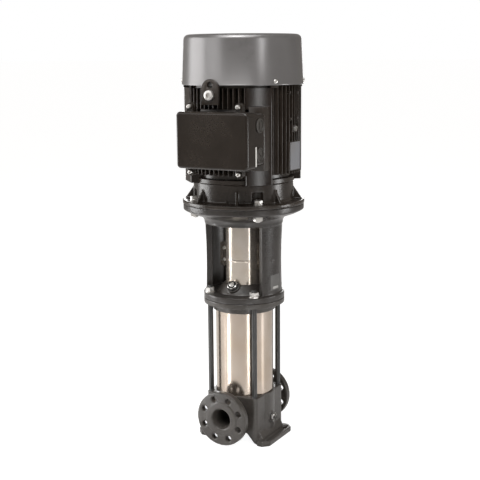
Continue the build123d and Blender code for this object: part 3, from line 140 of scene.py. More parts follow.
class Graph:
    """The nodes of one material or of the world."""

    # The numbers of the Mix node's two colour inputs and of its colour output
    MIX_FIRST = 6
    MIX_SECOND = 7
    MIX_RESULT = 2

    def __init__(self, tree: bpy.types.NodeTree) -> None:
        """Start with an empty tree."""
        self.tree = tree
        tree.nodes.clear()

    def node(self, kind: str, settings: dict | None = None, inputs: dict | None = None) -> Node:
        """Add one node of any kind.

        Args:
            kind: Blender's name of the node type.
            settings: values of the node itself.
            inputs: values or wires, by the input's name or number.

        Returns:
            The new node.
        """
        made = self.tree.nodes.new(kind)
        for name, value in (settings or {}).items():
            setattr(made, name, value)
        for name, value in (inputs or {}).items():
            if isinstance(value, Wire):
                self.tree.links.new(value.socket, made.inputs[name])
            else:
                made.inputs[name].default_value = value
        return made

    def wire(self, made: Node, output: str | int = 0) -> Wire:
        """Take one output of a node as a wire."""
        return Wire(self, made.outputs[output])

    def maths(self, operation: str, first: "Wire | float", second: "Wire | float") -> Wire:
        """Add one Math node on two wires or numbers."""
        return self.wire(self.node("ShaderNodeMath", {"operation": operation}, {0: first, 1: second}))

    def noise(self, scale: float, detail: float, stretch: Point = (1.0, 1.0, 1.0)) -> Wire:
        """A soft noise between 0 and 1 over the object.

        Args:
            scale: waves per metre.
            detail: how many finer layers it has.
            stretch: how fast it runs along each axis.

        Returns:
            A wire of the noise.
        """
        here = self.wire(self.node("ShaderNodeTexCoord"), "Object")
        spot = self.wire(self.node("ShaderNodeMapping", None, {"Vector": here, "Scale": stretch}))
        inputs = {"Vector": spot, "Scale": scale, "Detail": detail}
        return self.wire(self.node("ShaderNodeTexNoise", None, inputs))

    def upward(self) -> Wire:
        """How far the surface faces up: 1 on a level ledge."""
        normal = self.wire(self.node("ShaderNodeNewGeometry"), "Normal")
        return self.wire(self.node("ShaderNodeSeparateXYZ", None, {0: normal}), "Z")

    def band(self, value: Wire, low: float, high: float) -> Wire:
        """Rise smoothly from 0 at low to 1 at high.

        Args:
            value: the wire to follow.
            low: where the rise starts.
            high: where it ends.

        Returns:
            A wire between 0 and 1.
        """
        settings = {"interpolation_type": "SMOOTHSTEP"}
        inputs = {"Value": value, "From Min": low, "From Max": high}
        return self.wire(self.node("ShaderNodeMapRange", settings, inputs))

    def mix(self, factor: Wire, first: "Wire | Point", second: "Wire | Point") -> Wire:
        """Mix two colours.

        Args:
            factor: 0 gives the first and 1 the second.
            first: a colour or a wire.
            second: a colour or a wire.

        Returns:
            A wire of the mixed colour.
        """
        made = self.node("ShaderNodeMix", {"data_type": "RGBA"}, {0: factor})
        for number, colour in ((self.MIX_FIRST, first), (self.MIX_SECOND, second)):
            if isinstance(colour, Wire):
                self.tree.links.new(colour.socket, made.inputs[number])
            else:
                made.inputs[number].default_value = (*colour, 1.0)
        return self.wire(made, self.MIX_RESULT)

    def bump(self, height: Wire, distance: float) -> Wire:
        """Turn a height into a normal.

        Args:
            height: the height between 0 and 1.
            distance: how deep a height of 1 is.

        Returns:
            A wire of normals.
        """
        return self.wire(self.node("ShaderNodeBump", None, {"Height": height, "Distance": distance}))

    def close_by_ray(self, output: str, met: Node, seen: Node, share: float) -> None:
        """Close the graph with one shader for the camera and another for all other rays.

        Args:
            output: the type of the closing node.
            met: the shader that the other rays meet.
            seen: the shader that the camera sees.
            share: how much of that shader the camera sees.
        """
        camera_ray = self.wire(self.node("ShaderNodeLightPath"), "Is Camera Ray")
        blend = self.node("ShaderNodeMixShader", None, {0: share * camera_ray})
        self.tree.links.new(met.outputs[0], blend.inputs[1])
        self.tree.links.new(seen.outputs[0], blend.inputs[2])
        self.tree.links.new(blend.outputs[0], self.node(output).inputs[0])


@dataclass(frozen=True)
class Finish(ABC):
    """A surface finish that can be built as a material.

    The colour is linear. A finish for new pieces also holds their material slot.
    """

    name: str
    colour: Point
    slot: Slot | None = None
    metal: float = 0.0

    @abstractmethod
    def coat(self, graph: Graph) -> tuple[Wire, Wire, Wire]:
        """Lay the finish.

        Args:
            graph: the material's graph.

        Returns:
            Its colour, its roughness and its normal.
        """

    def shade(self, share: float, lift: float = 0.0) -> Point:
        """The finish's colour made darker or paler, and lifted towards grey."""
        return tuple(share * part + lift for part in self.colour)

    def build(self) -> bpy.types.Material:
        """Make the material.

        Returns:
            The material with its nodes linked to the output.
        """
        made = bpy.data.materials.new(self.name)
        made.use_nodes = True
        graph = Graph(made.node_tree)
        shader = graph.node("ShaderNodeBsdfPrincipled", None, {"Metallic": self.metal})
        for name, wire in zip(("Base Color", "Roughness", "Normal"), self.coat(graph)):
            graph.tree.links.new(wire.socket, shader.inputs[name])
        output = graph.node("ShaderNodeOutputMaterial")
        graph.tree.links.new(shader.outputs[0], output.inputs[0])
        return made


@dataclass(frozen=True)
class CastPaint(Finish):
    """Glossy enamel on a casting: sand grain below, soft cloudiness and dust on the ledges."""

    roughness: float = 0.34
    grain: float = 0.00035
    dust: float = 0.25

    def coat(self, graph: Graph) -> tuple[Wire, Wire, Wire]:
        """Lay the enamel.

        Args:
            graph: the material's graph.

        Returns:
            Its colour, its roughness and its normal.
        """
        cloud = graph.noise(scale=14.0, detail=4.0)
        sand = graph.noise(scale=420.0, detail=3.0)
        pits = graph.noise(scale=130.0, detail=2.0)
        ledge = graph.band(graph.upward(), 0.55, 1.0) * graph.band(cloud, 0.35, 0.7) * self.dust
        paler = graph.band(0.6 * cloud + 0.4 * pits, 0.32, 0.68)
        tone = graph.mix(paler, self.colour, self.shade(1.5, 0.003))
        rough = self.roughness + 0.07 * cloud + 0.04 * sand + 0.22 * ledge
        normal = graph.bump(0.65 * sand + 0.35 * pits, self.grain)
        return graph.mix(ledge, tone, self.shade(0.6, 0.06)), rough, normal


@dataclass(frozen=True)
class SheetPaint(Finish):
    """Satin metallic paint on drawn sheet steel: fine flake, faint drawing marks."""

    metal: float = 0.65
    roughness: float = 0.24
    relief: float = 0.00006

    def coat(self, graph: Graph) -> tuple[Wire, Wire, Wire]:
        """Lay the paint.

        Args:
            graph: the material's graph.

        Returns:
            Its colour, its roughness and its normal.
        """
        flake = graph.noise(scale=1500.0, detail=1.0)
        cloud = graph.noise(scale=9.0, detail=3.0)
        marks = graph.noise(scale=30.0, detail=3.0, stretch=(1.0, 1.0, 9.0))
        tone = graph.mix((0.6 * cloud + 0.4 * flake).clamp(), self.shade(0.88), self.shade(1.16))
        rough = self.roughness + 0.05 * cloud + 0.04 * flake
        return tone, rough, graph.bump(0.5 * flake + 0.5 * marks, self.relief)


@dataclass(frozen=True)
class BrushedSteel(Finish):
    """Stainless sheet, brushed round the shaft, with faint smears."""

    metal: float = 1.0
    roughness: float = 0.2
    lines: float = 0.00003
    smear_tint: Point = (0.9, 0.86, 0.8)

    def coat(self, graph: Graph) -> tuple[Wire, Wire, Wire]:
        """Brush the sheet.

        Args:
            graph: the material's graph.

        Returns:
            Its colour, its roughness and its normal.
        """
        brush = graph.noise(scale=22.0, detail=6.0, stretch=(1.0, 1.0, 60.0))
        smear = graph.noise(scale=11.0, detail=3.0)
        warm = tuple(part * tint for part, tint in zip(self.colour, self.smear_tint))
        tone = graph.mix(graph.band(smear, 0.3, 0.75), self.colour, warm)
        return tone, self.roughness + 0.06 * smear + 0.06 * brush, graph.bump(brush, self.lines)


@dataclass(frozen=True)
class Plated(Finish):
    """Zinc plate on fasteners: bright, mottled, a little stained."""

    metal: float = 1.0
    roughness: float = 0.24
    relief: float = 0.00008

    def coat(self, graph: Graph) -> tuple[Wire, Wire, Wire]:
        """Plate the steel.

        Args:
            graph: the material's graph.

        Returns:
            Its colour, its roughness and its normal.
        """
        mottle = graph.noise(scale=260.0, detail=4.0)
        stain = graph.noise(scale=60.0, detail=2.0)
        tone = graph.mix(graph.band(stain, 0.5, 0.8) * 0.7, self.colour, self.shade(0.62))
        return tone, self.roughness + 0.2 * mottle, graph.bump(mottle, self.relief)


@dataclass(frozen=True)
class Moulded(Finish):
    """Rubber, moulded plastic, label film or ceramic with a fine skin."""

    roughness: float = 0.55
    skin: float = 0.00005

    def coat(self, graph: Graph) -> tuple[Wire, Wire, Wire]:
        """Mould the skin.

        Args:
            graph: the material's graph.

        Returns:
            Its colour, its roughness and its normal.
        """
        fine = graph.noise(scale=900.0, detail=2.0)
        cloud = graph.noise(scale=40.0, detail=2.0)
        tone = graph.mix(cloud, self.colour, self.shade(1.35, 0.004))
        return tone, self.roughness + 0.12 * fine, graph.bump(fine, self.skin)


@dataclass(frozen=True)
class Windings(Finish):
    """Varnished copper turns, seen as fine rings round the stator."""

    metal: float = 0.6
    roughness: float = 0.35
    relief: float = 0.0008

    def coat(self, graph: Graph) -> tuple[Wire, Wire, Wire]:
        """Wind the copper.

        Args:
            graph: the material's graph.

        Returns:
            Its colour, its roughness and its normal.
        """
        turns = graph.noise(scale=60.0, detail=3.0, stretch=(1.0, 1.0, 12.0))
        tone = graph.mix(graph.band(turns, 0.35, 0.65), self.shade(0.3), self.colour)
        return tone, self.roughness + 0.2 * turns, graph.bump(turns, self.relief)


CASTING = CastPaint("black_enamel", (0.032, 0.028, 0.0245), Slot.CAST, roughness=0.25)
MOTOR_CASTING = CastPaint(
    "motor_enamel", (0.0205, 0.0155, 0.012), Slot.CAST, roughness=0.2, grain=0.00022, dust=0.12
)
# The frame's corner panels take the motor enamel at about half its colour. This is painted shade that makes
# them darker than the frame they belong to.
SHADED_PANEL_ENAMEL = CastPaint(
    "panel_enamel_painted_shade", (0.0105, 0.0068, 0.005), Slot.CAST, roughness=0.02, grain=0.00004, dust=0.06
)
STOOL_CASTING = CastPaint("stool_enamel", (0.0205, 0.0175, 0.0155), Slot.CAST, roughness=0.23)
BOX_ENAMEL = CastPaint(
    "box_enamel", (0.0115, 0.008, 0.0055), Slot.CAST, roughness=0.17, grain=0.0001, dust=0.04
)
ROD_ENAMEL = CastPaint(
    "rod_enamel", (0.016, 0.016, 0.0155), Slot.ROD, roughness=0.24, grain=0.00005, dust=0.0
)
COVER_PAINT = SheetPaint("cover_paint", (0.225, 0.22, 0.221), Slot.COVER)
SLEEVE_STEEL = BrushedSteel(
    "sleeve_steel", (0.46, 0.395, 0.34), Slot.STAINLESS, metal=0.92, roughness=0.14
)
GUARD_STEEL = BrushedSteel(
    "guard_steel", (0.57, 0.52, 0.47), Slot.STAINLESS, metal=0.75, roughness=0.14, lines=0.00001
)
LABEL_METAL = BrushedSteel(
    "label_metal", (0.37, 0.38, 0.41), Slot.STAINLESS, metal=0.8, roughness=0.34
)
ZINC = Plated("zinc_plate", (0.78, 0.765, 0.74), Slot.ZINC)
LABEL_DARK = Moulded("label_film", (0.075, 0.073, 0.07), Slot.MOULDED, roughness=0.35)
LABEL_PALE = Moulded("label_field", (0.30, 0.295, 0.28), Slot.MOULDED, roughness=0.4)
LABEL_WHITE = Moulded("label_paper", (0.62, 0.61, 0.58), Slot.MOULDED, roughness=0.5)
PLUG_PLASTIC = Moulded("plug_plastic", (0.05, 0.046, 0.042), Slot.MOULDED, roughness=0.14)
RUBBER = Moulded("seal_rubber", (0.012, 0.012, 0.012), roughness=0.5)
FAN_PLASTIC = Moulded("fan_plastic", (0.04, 0.04, 0.042), roughness=0.45)
CERAMIC = Moulded("seal_ceramic", (0.1, 0.1, 0.11), roughness=0.18, skin=0.00001)
INNER_STEEL = BrushedSteel("inner_steel", (0.6, 0.59, 0.57), roughness=0.28)
SHAFT_STEEL = BrushedSteel("shaft_steel", (0.56, 0.56, 0.56), roughness=0.25)
COPPER = Windings("winding_copper", (0.5, 0.2, 0.09))


class Palette:
    """The materials, each made once."""

    def __init__(self) -> None:
        """Start with no material made."""
        self.made: dict[Finish, bpy.types.Material] = {}

    def take(self, finish: Finish) -> bpy.types.Material:
        """Give the material of a finish, and make it the first time.

        Args:
            finish: the finish.

        Returns:
            Its material.
        """
        if finish not in self.made:
            self.made[finish] = finish.build()
        return self.made[finish]


class Bench:
    """Shapes meshes with Blender's own modelling operators."""

    @staticmethod
    def clear() -> None:
        """Leave edit mode and deselect everything."""
        if bpy.context.object and bpy.context.object.mode != "OBJECT":
            bpy.ops.object.mode_set(mode="OBJECT")
        bpy.ops.object.select_all(action="DESELECT")

    @staticmethod
    def pick(*pieces: Piece) -> None:
        """Select these pieces alone, the first one active."""
        Bench.clear()
        for piece in pieces:
            piece.select_set(True)
        bpy.context.view_layer.objects.active = pieces[0]

    @staticmethod
    @contextmanager
    def editing(
        piece: Piece, kind: Part = Part.VERTEX, chosen: Callable[[bpy.types.bpy_struct], bool] | None = None
    ) -> Iterator[None]:
        """Open a piece in edit mode, and close it again afterwards.

        Args:
            piece: the piece.
            kind: the kind of parts that is selected.
            chosen: the test on an edge or a face; without it all of the piece is selected.

        Yields:
            Nothing, while the piece is open.
        """
        Bench.pick(piece)
        bpy.ops.object.mode_set(mode="EDIT")
        bpy.ops.mesh.select_mode(type=kind.value)
        bpy.ops.mesh.select_all(action="DESELECT" if chosen else "SELECT")
        if chosen:
            bpy.ops.object.mode_set(mode="OBJECT")
            for part in piece.data.edges if kind is Part.EDGE else piece.data.polygons:
                part.select = chosen(part)
            bpy.ops.object.mode_set(mode="EDIT")
        yield
        bpy.ops.mesh.select_mode(type=Part.VERTEX.value)
        bpy.ops.object.mode_set(mode="OBJECT")

    @staticmethod
    def settle(piece: Piece, name: str = "") -> Piece:
        """Put the piece's place into its mesh.

        Args:
            piece: the piece.
            name: its new name, if it gets one.

        Returns:
            The same piece.
        """
        Bench.pick(piece)
        bpy.ops.object.transform_apply(location=True, rotation=True, scale=True)
        if name:
            piece.name = name
            piece.data.name = name
        return piece

    @staticmethod
    def put(piece: Piece, place: Matrix) -> Piece:
        """Move a piece to its place, with the place in its mesh."""
        piece.matrix_world = place
        return Bench.settle(piece)

    @staticmethod
    def outward(piece: Piece) -> None:
        """Merge doubles and point the faces outwards."""
        with Bench.editing(piece):
            bpy.ops.mesh.remove_doubles(threshold=POLE)
            bpy.ops.mesh.normals_make_consistent(inside=False)

    @staticmethod
    def smooth(piece: Piece, degrees: float = 32.0) -> Piece:
        """Shade smooth wherever faces meet at less than an angle.

        Args:
            piece: the piece.
            degrees: the angle.

        Returns:
            The same piece.
        """
        Bench.pick(piece)
        bpy.ops.object.shade_smooth_by_angle(angle=math.radians(degrees))
        return piece

    @staticmethod
    def turn(name: str, outline: Outline, steps: int = 96) -> Piece:
        """Turn an outline about the Z axis: a circle, extruded and resized point by point.

        Args:
            name: the piece's name.
            outline: (radius, height) points; where the last is the first again, the ring closes.
            steps: sides round the axis.

        Returns:
            The turned piece.
        """
        Bench.clear()
        radius, height = outline[0]
        bpy.ops.mesh.primitive_circle_add(vertices=steps, radius=radius, location=(0.0, 0.0, height))
        piece = bpy.context.active_object
        with Bench.editing(piece):
            for after_radius, after_height in outline[1:]:
                rise = (0.0, 0.0, after_height - height)
                bpy.ops.mesh.extrude_edges_move(TRANSFORM_OT_translate={"value": rise})
                share = after_radius / radius
                middle = (0.0, 0.0, after_height)
                bpy.ops.transform.resize(value=(share, share, 1.0), center_override=middle)
                radius, height = after_radius, after_height
        Bench.settle(piece, name)
        Bench.outward(piece)
        return Bench.smooth(piece)

    @staticmethod
    def block(name: str, low: Point, high: Point, bevel: float = 0.0) -> Piece:
        """A cube between two corners, with all its edges rounded where a bevel is given.

        Args:
            name: the piece's name.
            low: the lowest corner.
            high: the highest corner.
            bevel: the width of the rounding.

        Returns:
            The block.
        """
        Bench.clear()
        middle = [(a + b) / 2 for a, b in zip(low, high)]
        bpy.ops.mesh.primitive_cube_add(size=1.0, location=middle)
        piece = bpy.context.active_object
        piece.scale = [b - a for a, b in zip(low, high)]
        Bench.settle(piece, name)
        if bevel:
            Bench.round_edges(piece, lambda ends: True, bevel, 2)
        return Bench.smooth(piece)

    @staticmethod
    def prism(name: str, reach: float, height: float, foot: float = 0.0) -> Piece:
        """A six-sided prism about the Z axis.

        Args:
            name: the piece's name.
            reach: how far its corners are from the axis.
            height: its height.
            foot: the height of its lower end.

        Returns:
            The prism.
        """
        Bench.clear()
        middle = (0.0, 0.0, foot + height / 2)
        bpy.ops.mesh.primitive_cylinder_add(vertices=6, radius=reach, depth=height, location=middle)
        return Bench.settle(bpy.context.active_object, name)

    @staticmethod
    def round_edges(
        piece: Piece, chosen: Callable[[Sequence[Vector]], bool], width: float, segments: int
    ) -> None:
        """Round the edges that a test chooses by their two ends.

        Args:
            piece: the piece.
            chosen: the test on an edge's ends.
            width: the width of the rounding.
            segments: its steps.
        """
        points = piece.data.vertices
        with Bench.editing(piece, Part.EDGE, lambda edge: chosen([points[i].co for i in edge.vertices])):
            bpy.ops.mesh.bevel(offset=width, segments=segments, profile=0.5, clamp_overlap=True)

    @staticmethod
    def sink(piece: Piece, axis: Axis, level: float, rim: float, depth: float) -> None:
        """Sink a pocket into the face at the high end of an axis.

        Args:
            piece: the piece.
            axis: the axis that the face looks along.
            level: where the face lies on it.
            rim: how far the pocket stays inside the face's edges.
            depth: how deep it is.
        """
        push = [0.0, 0.0, 0.0]
        push[axis.value] = -depth
        with Bench.editing(piece, Part.FACE, lambda face: axis.at(face.center, level)):
            bpy.ops.mesh.inset(thickness=rim)
            bpy.ops.mesh.extrude_region_move(TRANSFORM_OT_translate={"value": push})

    @staticmethod
    def apply(piece: Piece, kind: str, **settings: object) -> None:
        """Add one modifier and apply it.

        Args:
            piece: the piece.
            kind: the modifier's type.
            settings: its settings.
        """
        Bench.pick(piece)
        added = piece.modifiers.new(kind.lower(), kind)
        for name, value in settings.items():
            setattr(added, name, value)
        bpy.ops.object.modifier_apply(modifier=added.name)

    @staticmethod
    def cut(piece: Piece, tool: Piece, operation: str = "DIFFERENCE") -> None:
        """Combine a piece with a tool body and throw the tool away.

        Args:
            piece: the piece.
            tool: the tool body.
            operation: DIFFERENCE or INTERSECT.
        """
        Bench.apply(piece, "BOOLEAN", object=tool, operation=operation, solver="EXACT")
        bpy.data.objects.remove(tool)

    @staticmethod
    def join(name: str, pieces: Sequence[Piece]) -> Piece:
        """Join pieces into one object.

        Args:
            name: the joined object's name.
            pieces: the pieces.

        Returns:
            The joined object.
        """
        Bench.pick(*pieces)
        if len(pieces) > 1:
            bpy.ops.object.join()
        return Bench.settle(bpy.context.view_layer.objects.active, name)

    @staticmethod
    def copies(piece: Piece, places: Iterable[Matrix]) -> list[Piece]:
        """Copy a piece, each copy with its own mesh, and put the copies in place.

        Args:
            piece: the piece modelled once; it is removed.
            places: where each copy goes.

        Returns:
            The copies.
        """
        made = []
        for number, place in enumerate(places):
            Bench.pick(piece)
            bpy.ops.object.duplicate()
            copy = bpy.context.view_layer.objects.active
            copy.matrix_world = place
            made.append(Bench.settle(copy, f"{piece.name}_{number + 1}"))
        bpy.data.objects.remove(piece)
        return made

    @staticmethod
    def copy_of(node: str, name: str) -> Piece:
        """A new object with a merged copy of a construction node's mesh.

        Args:
            node: the construction node.
            name: the copy's name.

        Returns:
            The copy, without a material.
        """
        piece = bpy.data.objects.new(name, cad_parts[node].data.copy())
        bpy.context.scene.collection.objects.link(piece)
        Bench.pick(piece)
        if piece.data.has_custom_normals:
            bpy.ops.mesh.customdata_custom_splitnormals_clear()
        piece.data.materials.clear()
        piece.data.name = name
        Bench.outward(piece)
        return piece

    @staticmethod
    def casting(node: str, name: str, voxel: float) -> Piece:
        """Copy a casting's solid and soften its edges and corners as a mould leaves them.

        Args:
            node: the construction node.
            name: the piece's name.
            voxel: the size of the new faces.

        Returns:
            The softened copy.
        """
        piece = Bench.copy_of(node, name)
        Bench.apply(piece, "REMESH", mode="VOXEL", voxel_size=voxel, use_smooth_shade=True)
        Bench.apply(piece, "SMOOTH", factor=0.5, iterations=4)
        Bench.apply(piece, "DECIMATE", ratio=0.45)
        return Bench.smooth(piece, 60.0)

    @staticmethod
    def fitted(node: str, name: str, width: float) -> Piece:
        """Copy a solid and round its sharp edges.

        Args:
            node: the construction node.
            name: the piece's name.
            width: the width of the rounding.

        Returns:
            The rounded copy.
        """
        piece = Bench.copy_of(node, name)
        with Bench.editing(piece):
            bpy.ops.mesh.dissolve_limited(angle_limit=math.radians(1.0))
        sharp = math.radians(40.0)
        Bench.apply(piece, "BEVEL", width=width, segments=3, limit_method="ANGLE", angle_limit=sharp)
        return Bench.smooth(piece, CAST_ANGLE)

    @staticmethod
    def keep(piece: Piece, toward: Point) -> None:
        """Cut a piece by a plane through the shaft and keep one side, closed again.

        Args:
            piece: the piece.
            toward: the direction of the side that stays.
        """
        with Bench.editing(piece):
            bpy.ops.mesh.bisect(plane_co=(0.0, 0.0, 0.0), plane_no=toward, use_fill=True, clear_inner=True)

    @staticmethod
    def boss(name: str, radius: float, start: float, end: float) -> Piece:
        """A round boss along +Z between two heights, with a turned-off rim."""
        edge = 1.2 * MM
        outline = ((POLE, start), (radius, start), (radius, end - edge), (radius - edge, end), (POLE, end))
        return Bench.turn(name, outline, steps=48)

    @staticmethod
    def washer(name: str, bore: float, outer: float, low: float, high: float, edge: float) -> Piece:
        """A flat washer about the Z axis, with the edge of its upper face turned off.

        Args:
            name: the piece's name.
            bore: the radius of its hole.
            outer: its outer radius.
            low: the height of its lower face.
            high: the height of its upper face.
            edge: how much of its edge is turned off.

        Returns:
            The washer.
        """
        outline = (
            (bore, low),
            (outer, low),
            (outer, high - edge),
            (outer - edge, high),
            (bore, high),
            (bore, low),
        )
        return Bench.turn(name, outline, steps=48)

    @staticmethod
    def bolt_head(name: str, flats: float, height: float, washer: float) -> Piece:
        """A hexagon head standing on z = 0, with its corners turned off.

        Args:
            name: the piece's name.
            flats: the width across the flats.
            height: the height of the head.
            washer: the height of the round face below the flats.

        Returns:
            The head.
        """
        half = flats / 2
        reach = flats / math.sqrt(3)
        flare = 0.2 * washer
        top_chamfer = 0.14 * height
        foot_chamfer = 0.6 * top_chamfer
        top = 0.97 * half
        head = Bench.prism(name, reach, height)
        blank = Bench.turn(
            "blank",
            (
                (POLE, 0.0),
                (half, 0.0),
                (half, washer),
                (half + flare, washer),
                (reach, washer + foot_chamfer),
                (reach, height - top_chamfer),
                (top, height),
                (POLE, height),
            ),
            steps=48,
        )
        Bench.cut(head, blank, "INTERSECT")
        return Bench.smooth(head, 20.0)

    @staticmethod
    def socket_head(name: str, radius: float, height: float, socket: float) -> Piece:
        """A round screw head standing on z = 0, with a hexagon socket.

        Args:
            name: the piece's name.
            radius: the head's radius.
            height: its height.
            socket: the width across the socket's flats.

        Returns:
            The head.
        """
        edge = 0.12 * radius
        knee = 0.3 * edge
        socket_floor = 0.2 * height
        outline = (
            (POLE, 0.0),
            (radius - edge / 2, 0.0),
            (radius, edge / 2),
            (radius, height - edge),
            (radius - knee, height - knee),
            (radius - edge, height),
            (POLE, height),
        )
        head = Bench.turn(name, outline, steps=40)
        Bench.cut(head, Bench.prism("socket_tool", socket / math.sqrt(3), height, socket_floor))
        return Bench.smooth(head, FASTENER_ANGLE)

    @staticmethod
    def pan_screw(name: str, head: float, height: float, shank: float, length: float) -> Piece:
        """A round-headed screw with its head on z = 0, its shank below and a hexagon socket.

        Args:
            name: the piece's name.
            head: the head's radius.
            height: its height.
            shank: the shank's radius.
            length: the shank's length.

        Returns:
            The screw.
        """
        edge = 0.4 * MM
        socket_reach = 0.48 * head
        # The round of the head, as shares of its radius and its height
        crown = ((1.0, 0.5), (0.94, 0.78), (0.82, 0.94), (0.66, 1.0))
        outline = (
            (POLE, -length),
            (shank - edge, -length),
            (shank, edge - length),
            (shank, 0.0),
            (head - edge, 0.0),
            (head, edge),
            *((wide * head, tall * height) for wide, tall in crown),
            (POLE, height),
        )
        screw = Bench.turn(name, outline, steps=32)
        Bench.cut(screw, Bench.prism("socket_tool", socket_reach, height, height / 2))
        return Bench.smooth(screw, FASTENER_ANGLE)


@dataclass
class Assembly:
    """A part of the pump that is dressed together."""

    palette: Palette

    def finish(self, piece: Piece, look: Finish, *nodes: str) -> None:
        """Give a new piece its finish, its body and the nodes that it stands for.

        Args:
            piece: the new piece.
            look: its finish.
            nodes: the construction nodes that it replaces.
        """
        piece.data.materials.clear()
        piece.data.materials.append(self.palette.take(look))
        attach(piece, PUMP)
        if nodes:
            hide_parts(*nodes)
        log.info("%s: %d faces", piece.name, len(piece.data.polygons))

    def fasten(self, name: str, node: str, pieces: Sequence[Piece], look: Finish = ZINC) -> None:
        """Join fasteners that are in place, shade them and finish them as one piece.

        Args:
            name: the joined piece's name.
            node: the construction node that it replaces.
            pieces: the fasteners.
            look: their finish.
        """
        self.finish(Bench.smooth(Bench.join(name, pieces), FASTENER_ANGLE), look, node)

    def dress(self, look: Finish, *nodes: str) -> None:
        """Give construction nodes that stay as they are their finish.

        Args:
            look: the finish.
            nodes: the nodes.
        """
        for node in nodes:
            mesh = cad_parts[node].data
            mesh.materials.clear()
            mesh.materials.append(self.palette.take(look))
            log.info("%s dressed", node)


def centre(node: str) -> Vector:
    """The middle of a construction node's box."""
    low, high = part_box(node)
    return (low + high) / 2


def corners(node: str, inset: float) -> list[tuple[float, float]]:
    """The four (x, y) places that lie a distance inside the corners of a node's box."""
    low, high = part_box(node)
    return [(x, y) for x in (low.x + inset, high.x - inset) for y in (low.y + inset, high.y - inset)]


def facing(at: Sequence[float], outward: Sequence[float], spin: float = 0.0) -> Matrix:
    """Where something modelled along +Z goes, so that it stands at a place and points outwards.

    Args:
        at: the place of its foot.
        outward: the way it points.
        spin: its turn about its own axis.

    Returns:
        The matrix that puts it there.
    """
    turn = Vector(outward).to_track_quat("Z", "Y").to_matrix().to_4x4()
    return Matrix.Translation(at) @ turn @ Matrix.Rotation(spin, 4, "Z")


def upright(
    spots: Iterable[tuple[float, float]], level: float, turn: float = 0.0, step: float = 0.0
) -> list[Matrix]:
    """Where upright pieces go on a row of (x, y) spots.

    Args:
        spots: the spots.
        level: the height of their feet.
        turn: the first one's turn about its own axis.
        step: how much further each next one is turned.

    Returns:
        A matrix for each spot.
    """
    return [
        Matrix.Translation((x, y, level)) @ Matrix.Rotation(turn + step * number, 4, "Z")
        for number, (x, y) in enumerate(spots)
    ]


@dataclass
class BasePart(Assembly):
    """The base casting with its ports, and the drain plug."""

    voxel: float = 0.0019
    drain_flats: float = 0.024
    drain_washer: float = 0.0012

    def build(self) -> None:
        """Build the base casting and its plug."""
        self.finish(Bench.casting("pump_base", "base_casting", self.voxel), CASTING, "pump_base")
        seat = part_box("drain_plug_ring")[1].x
        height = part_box("drain_plug")[1].x - seat
        head = Bench.bolt_head("drain_plug_head", self.drain_flats, height, self.drain_washer)
        foot = Matrix.Translation((seat, 0.0, centre("drain_plug").z))
        self.finish(Bench.put(head, foot @ Matrix.Rotation(math.pi / 2, 4, "Y")), ZINC, "drain_plug")
        self.dress(RUBBER, "drain_plug_ring")


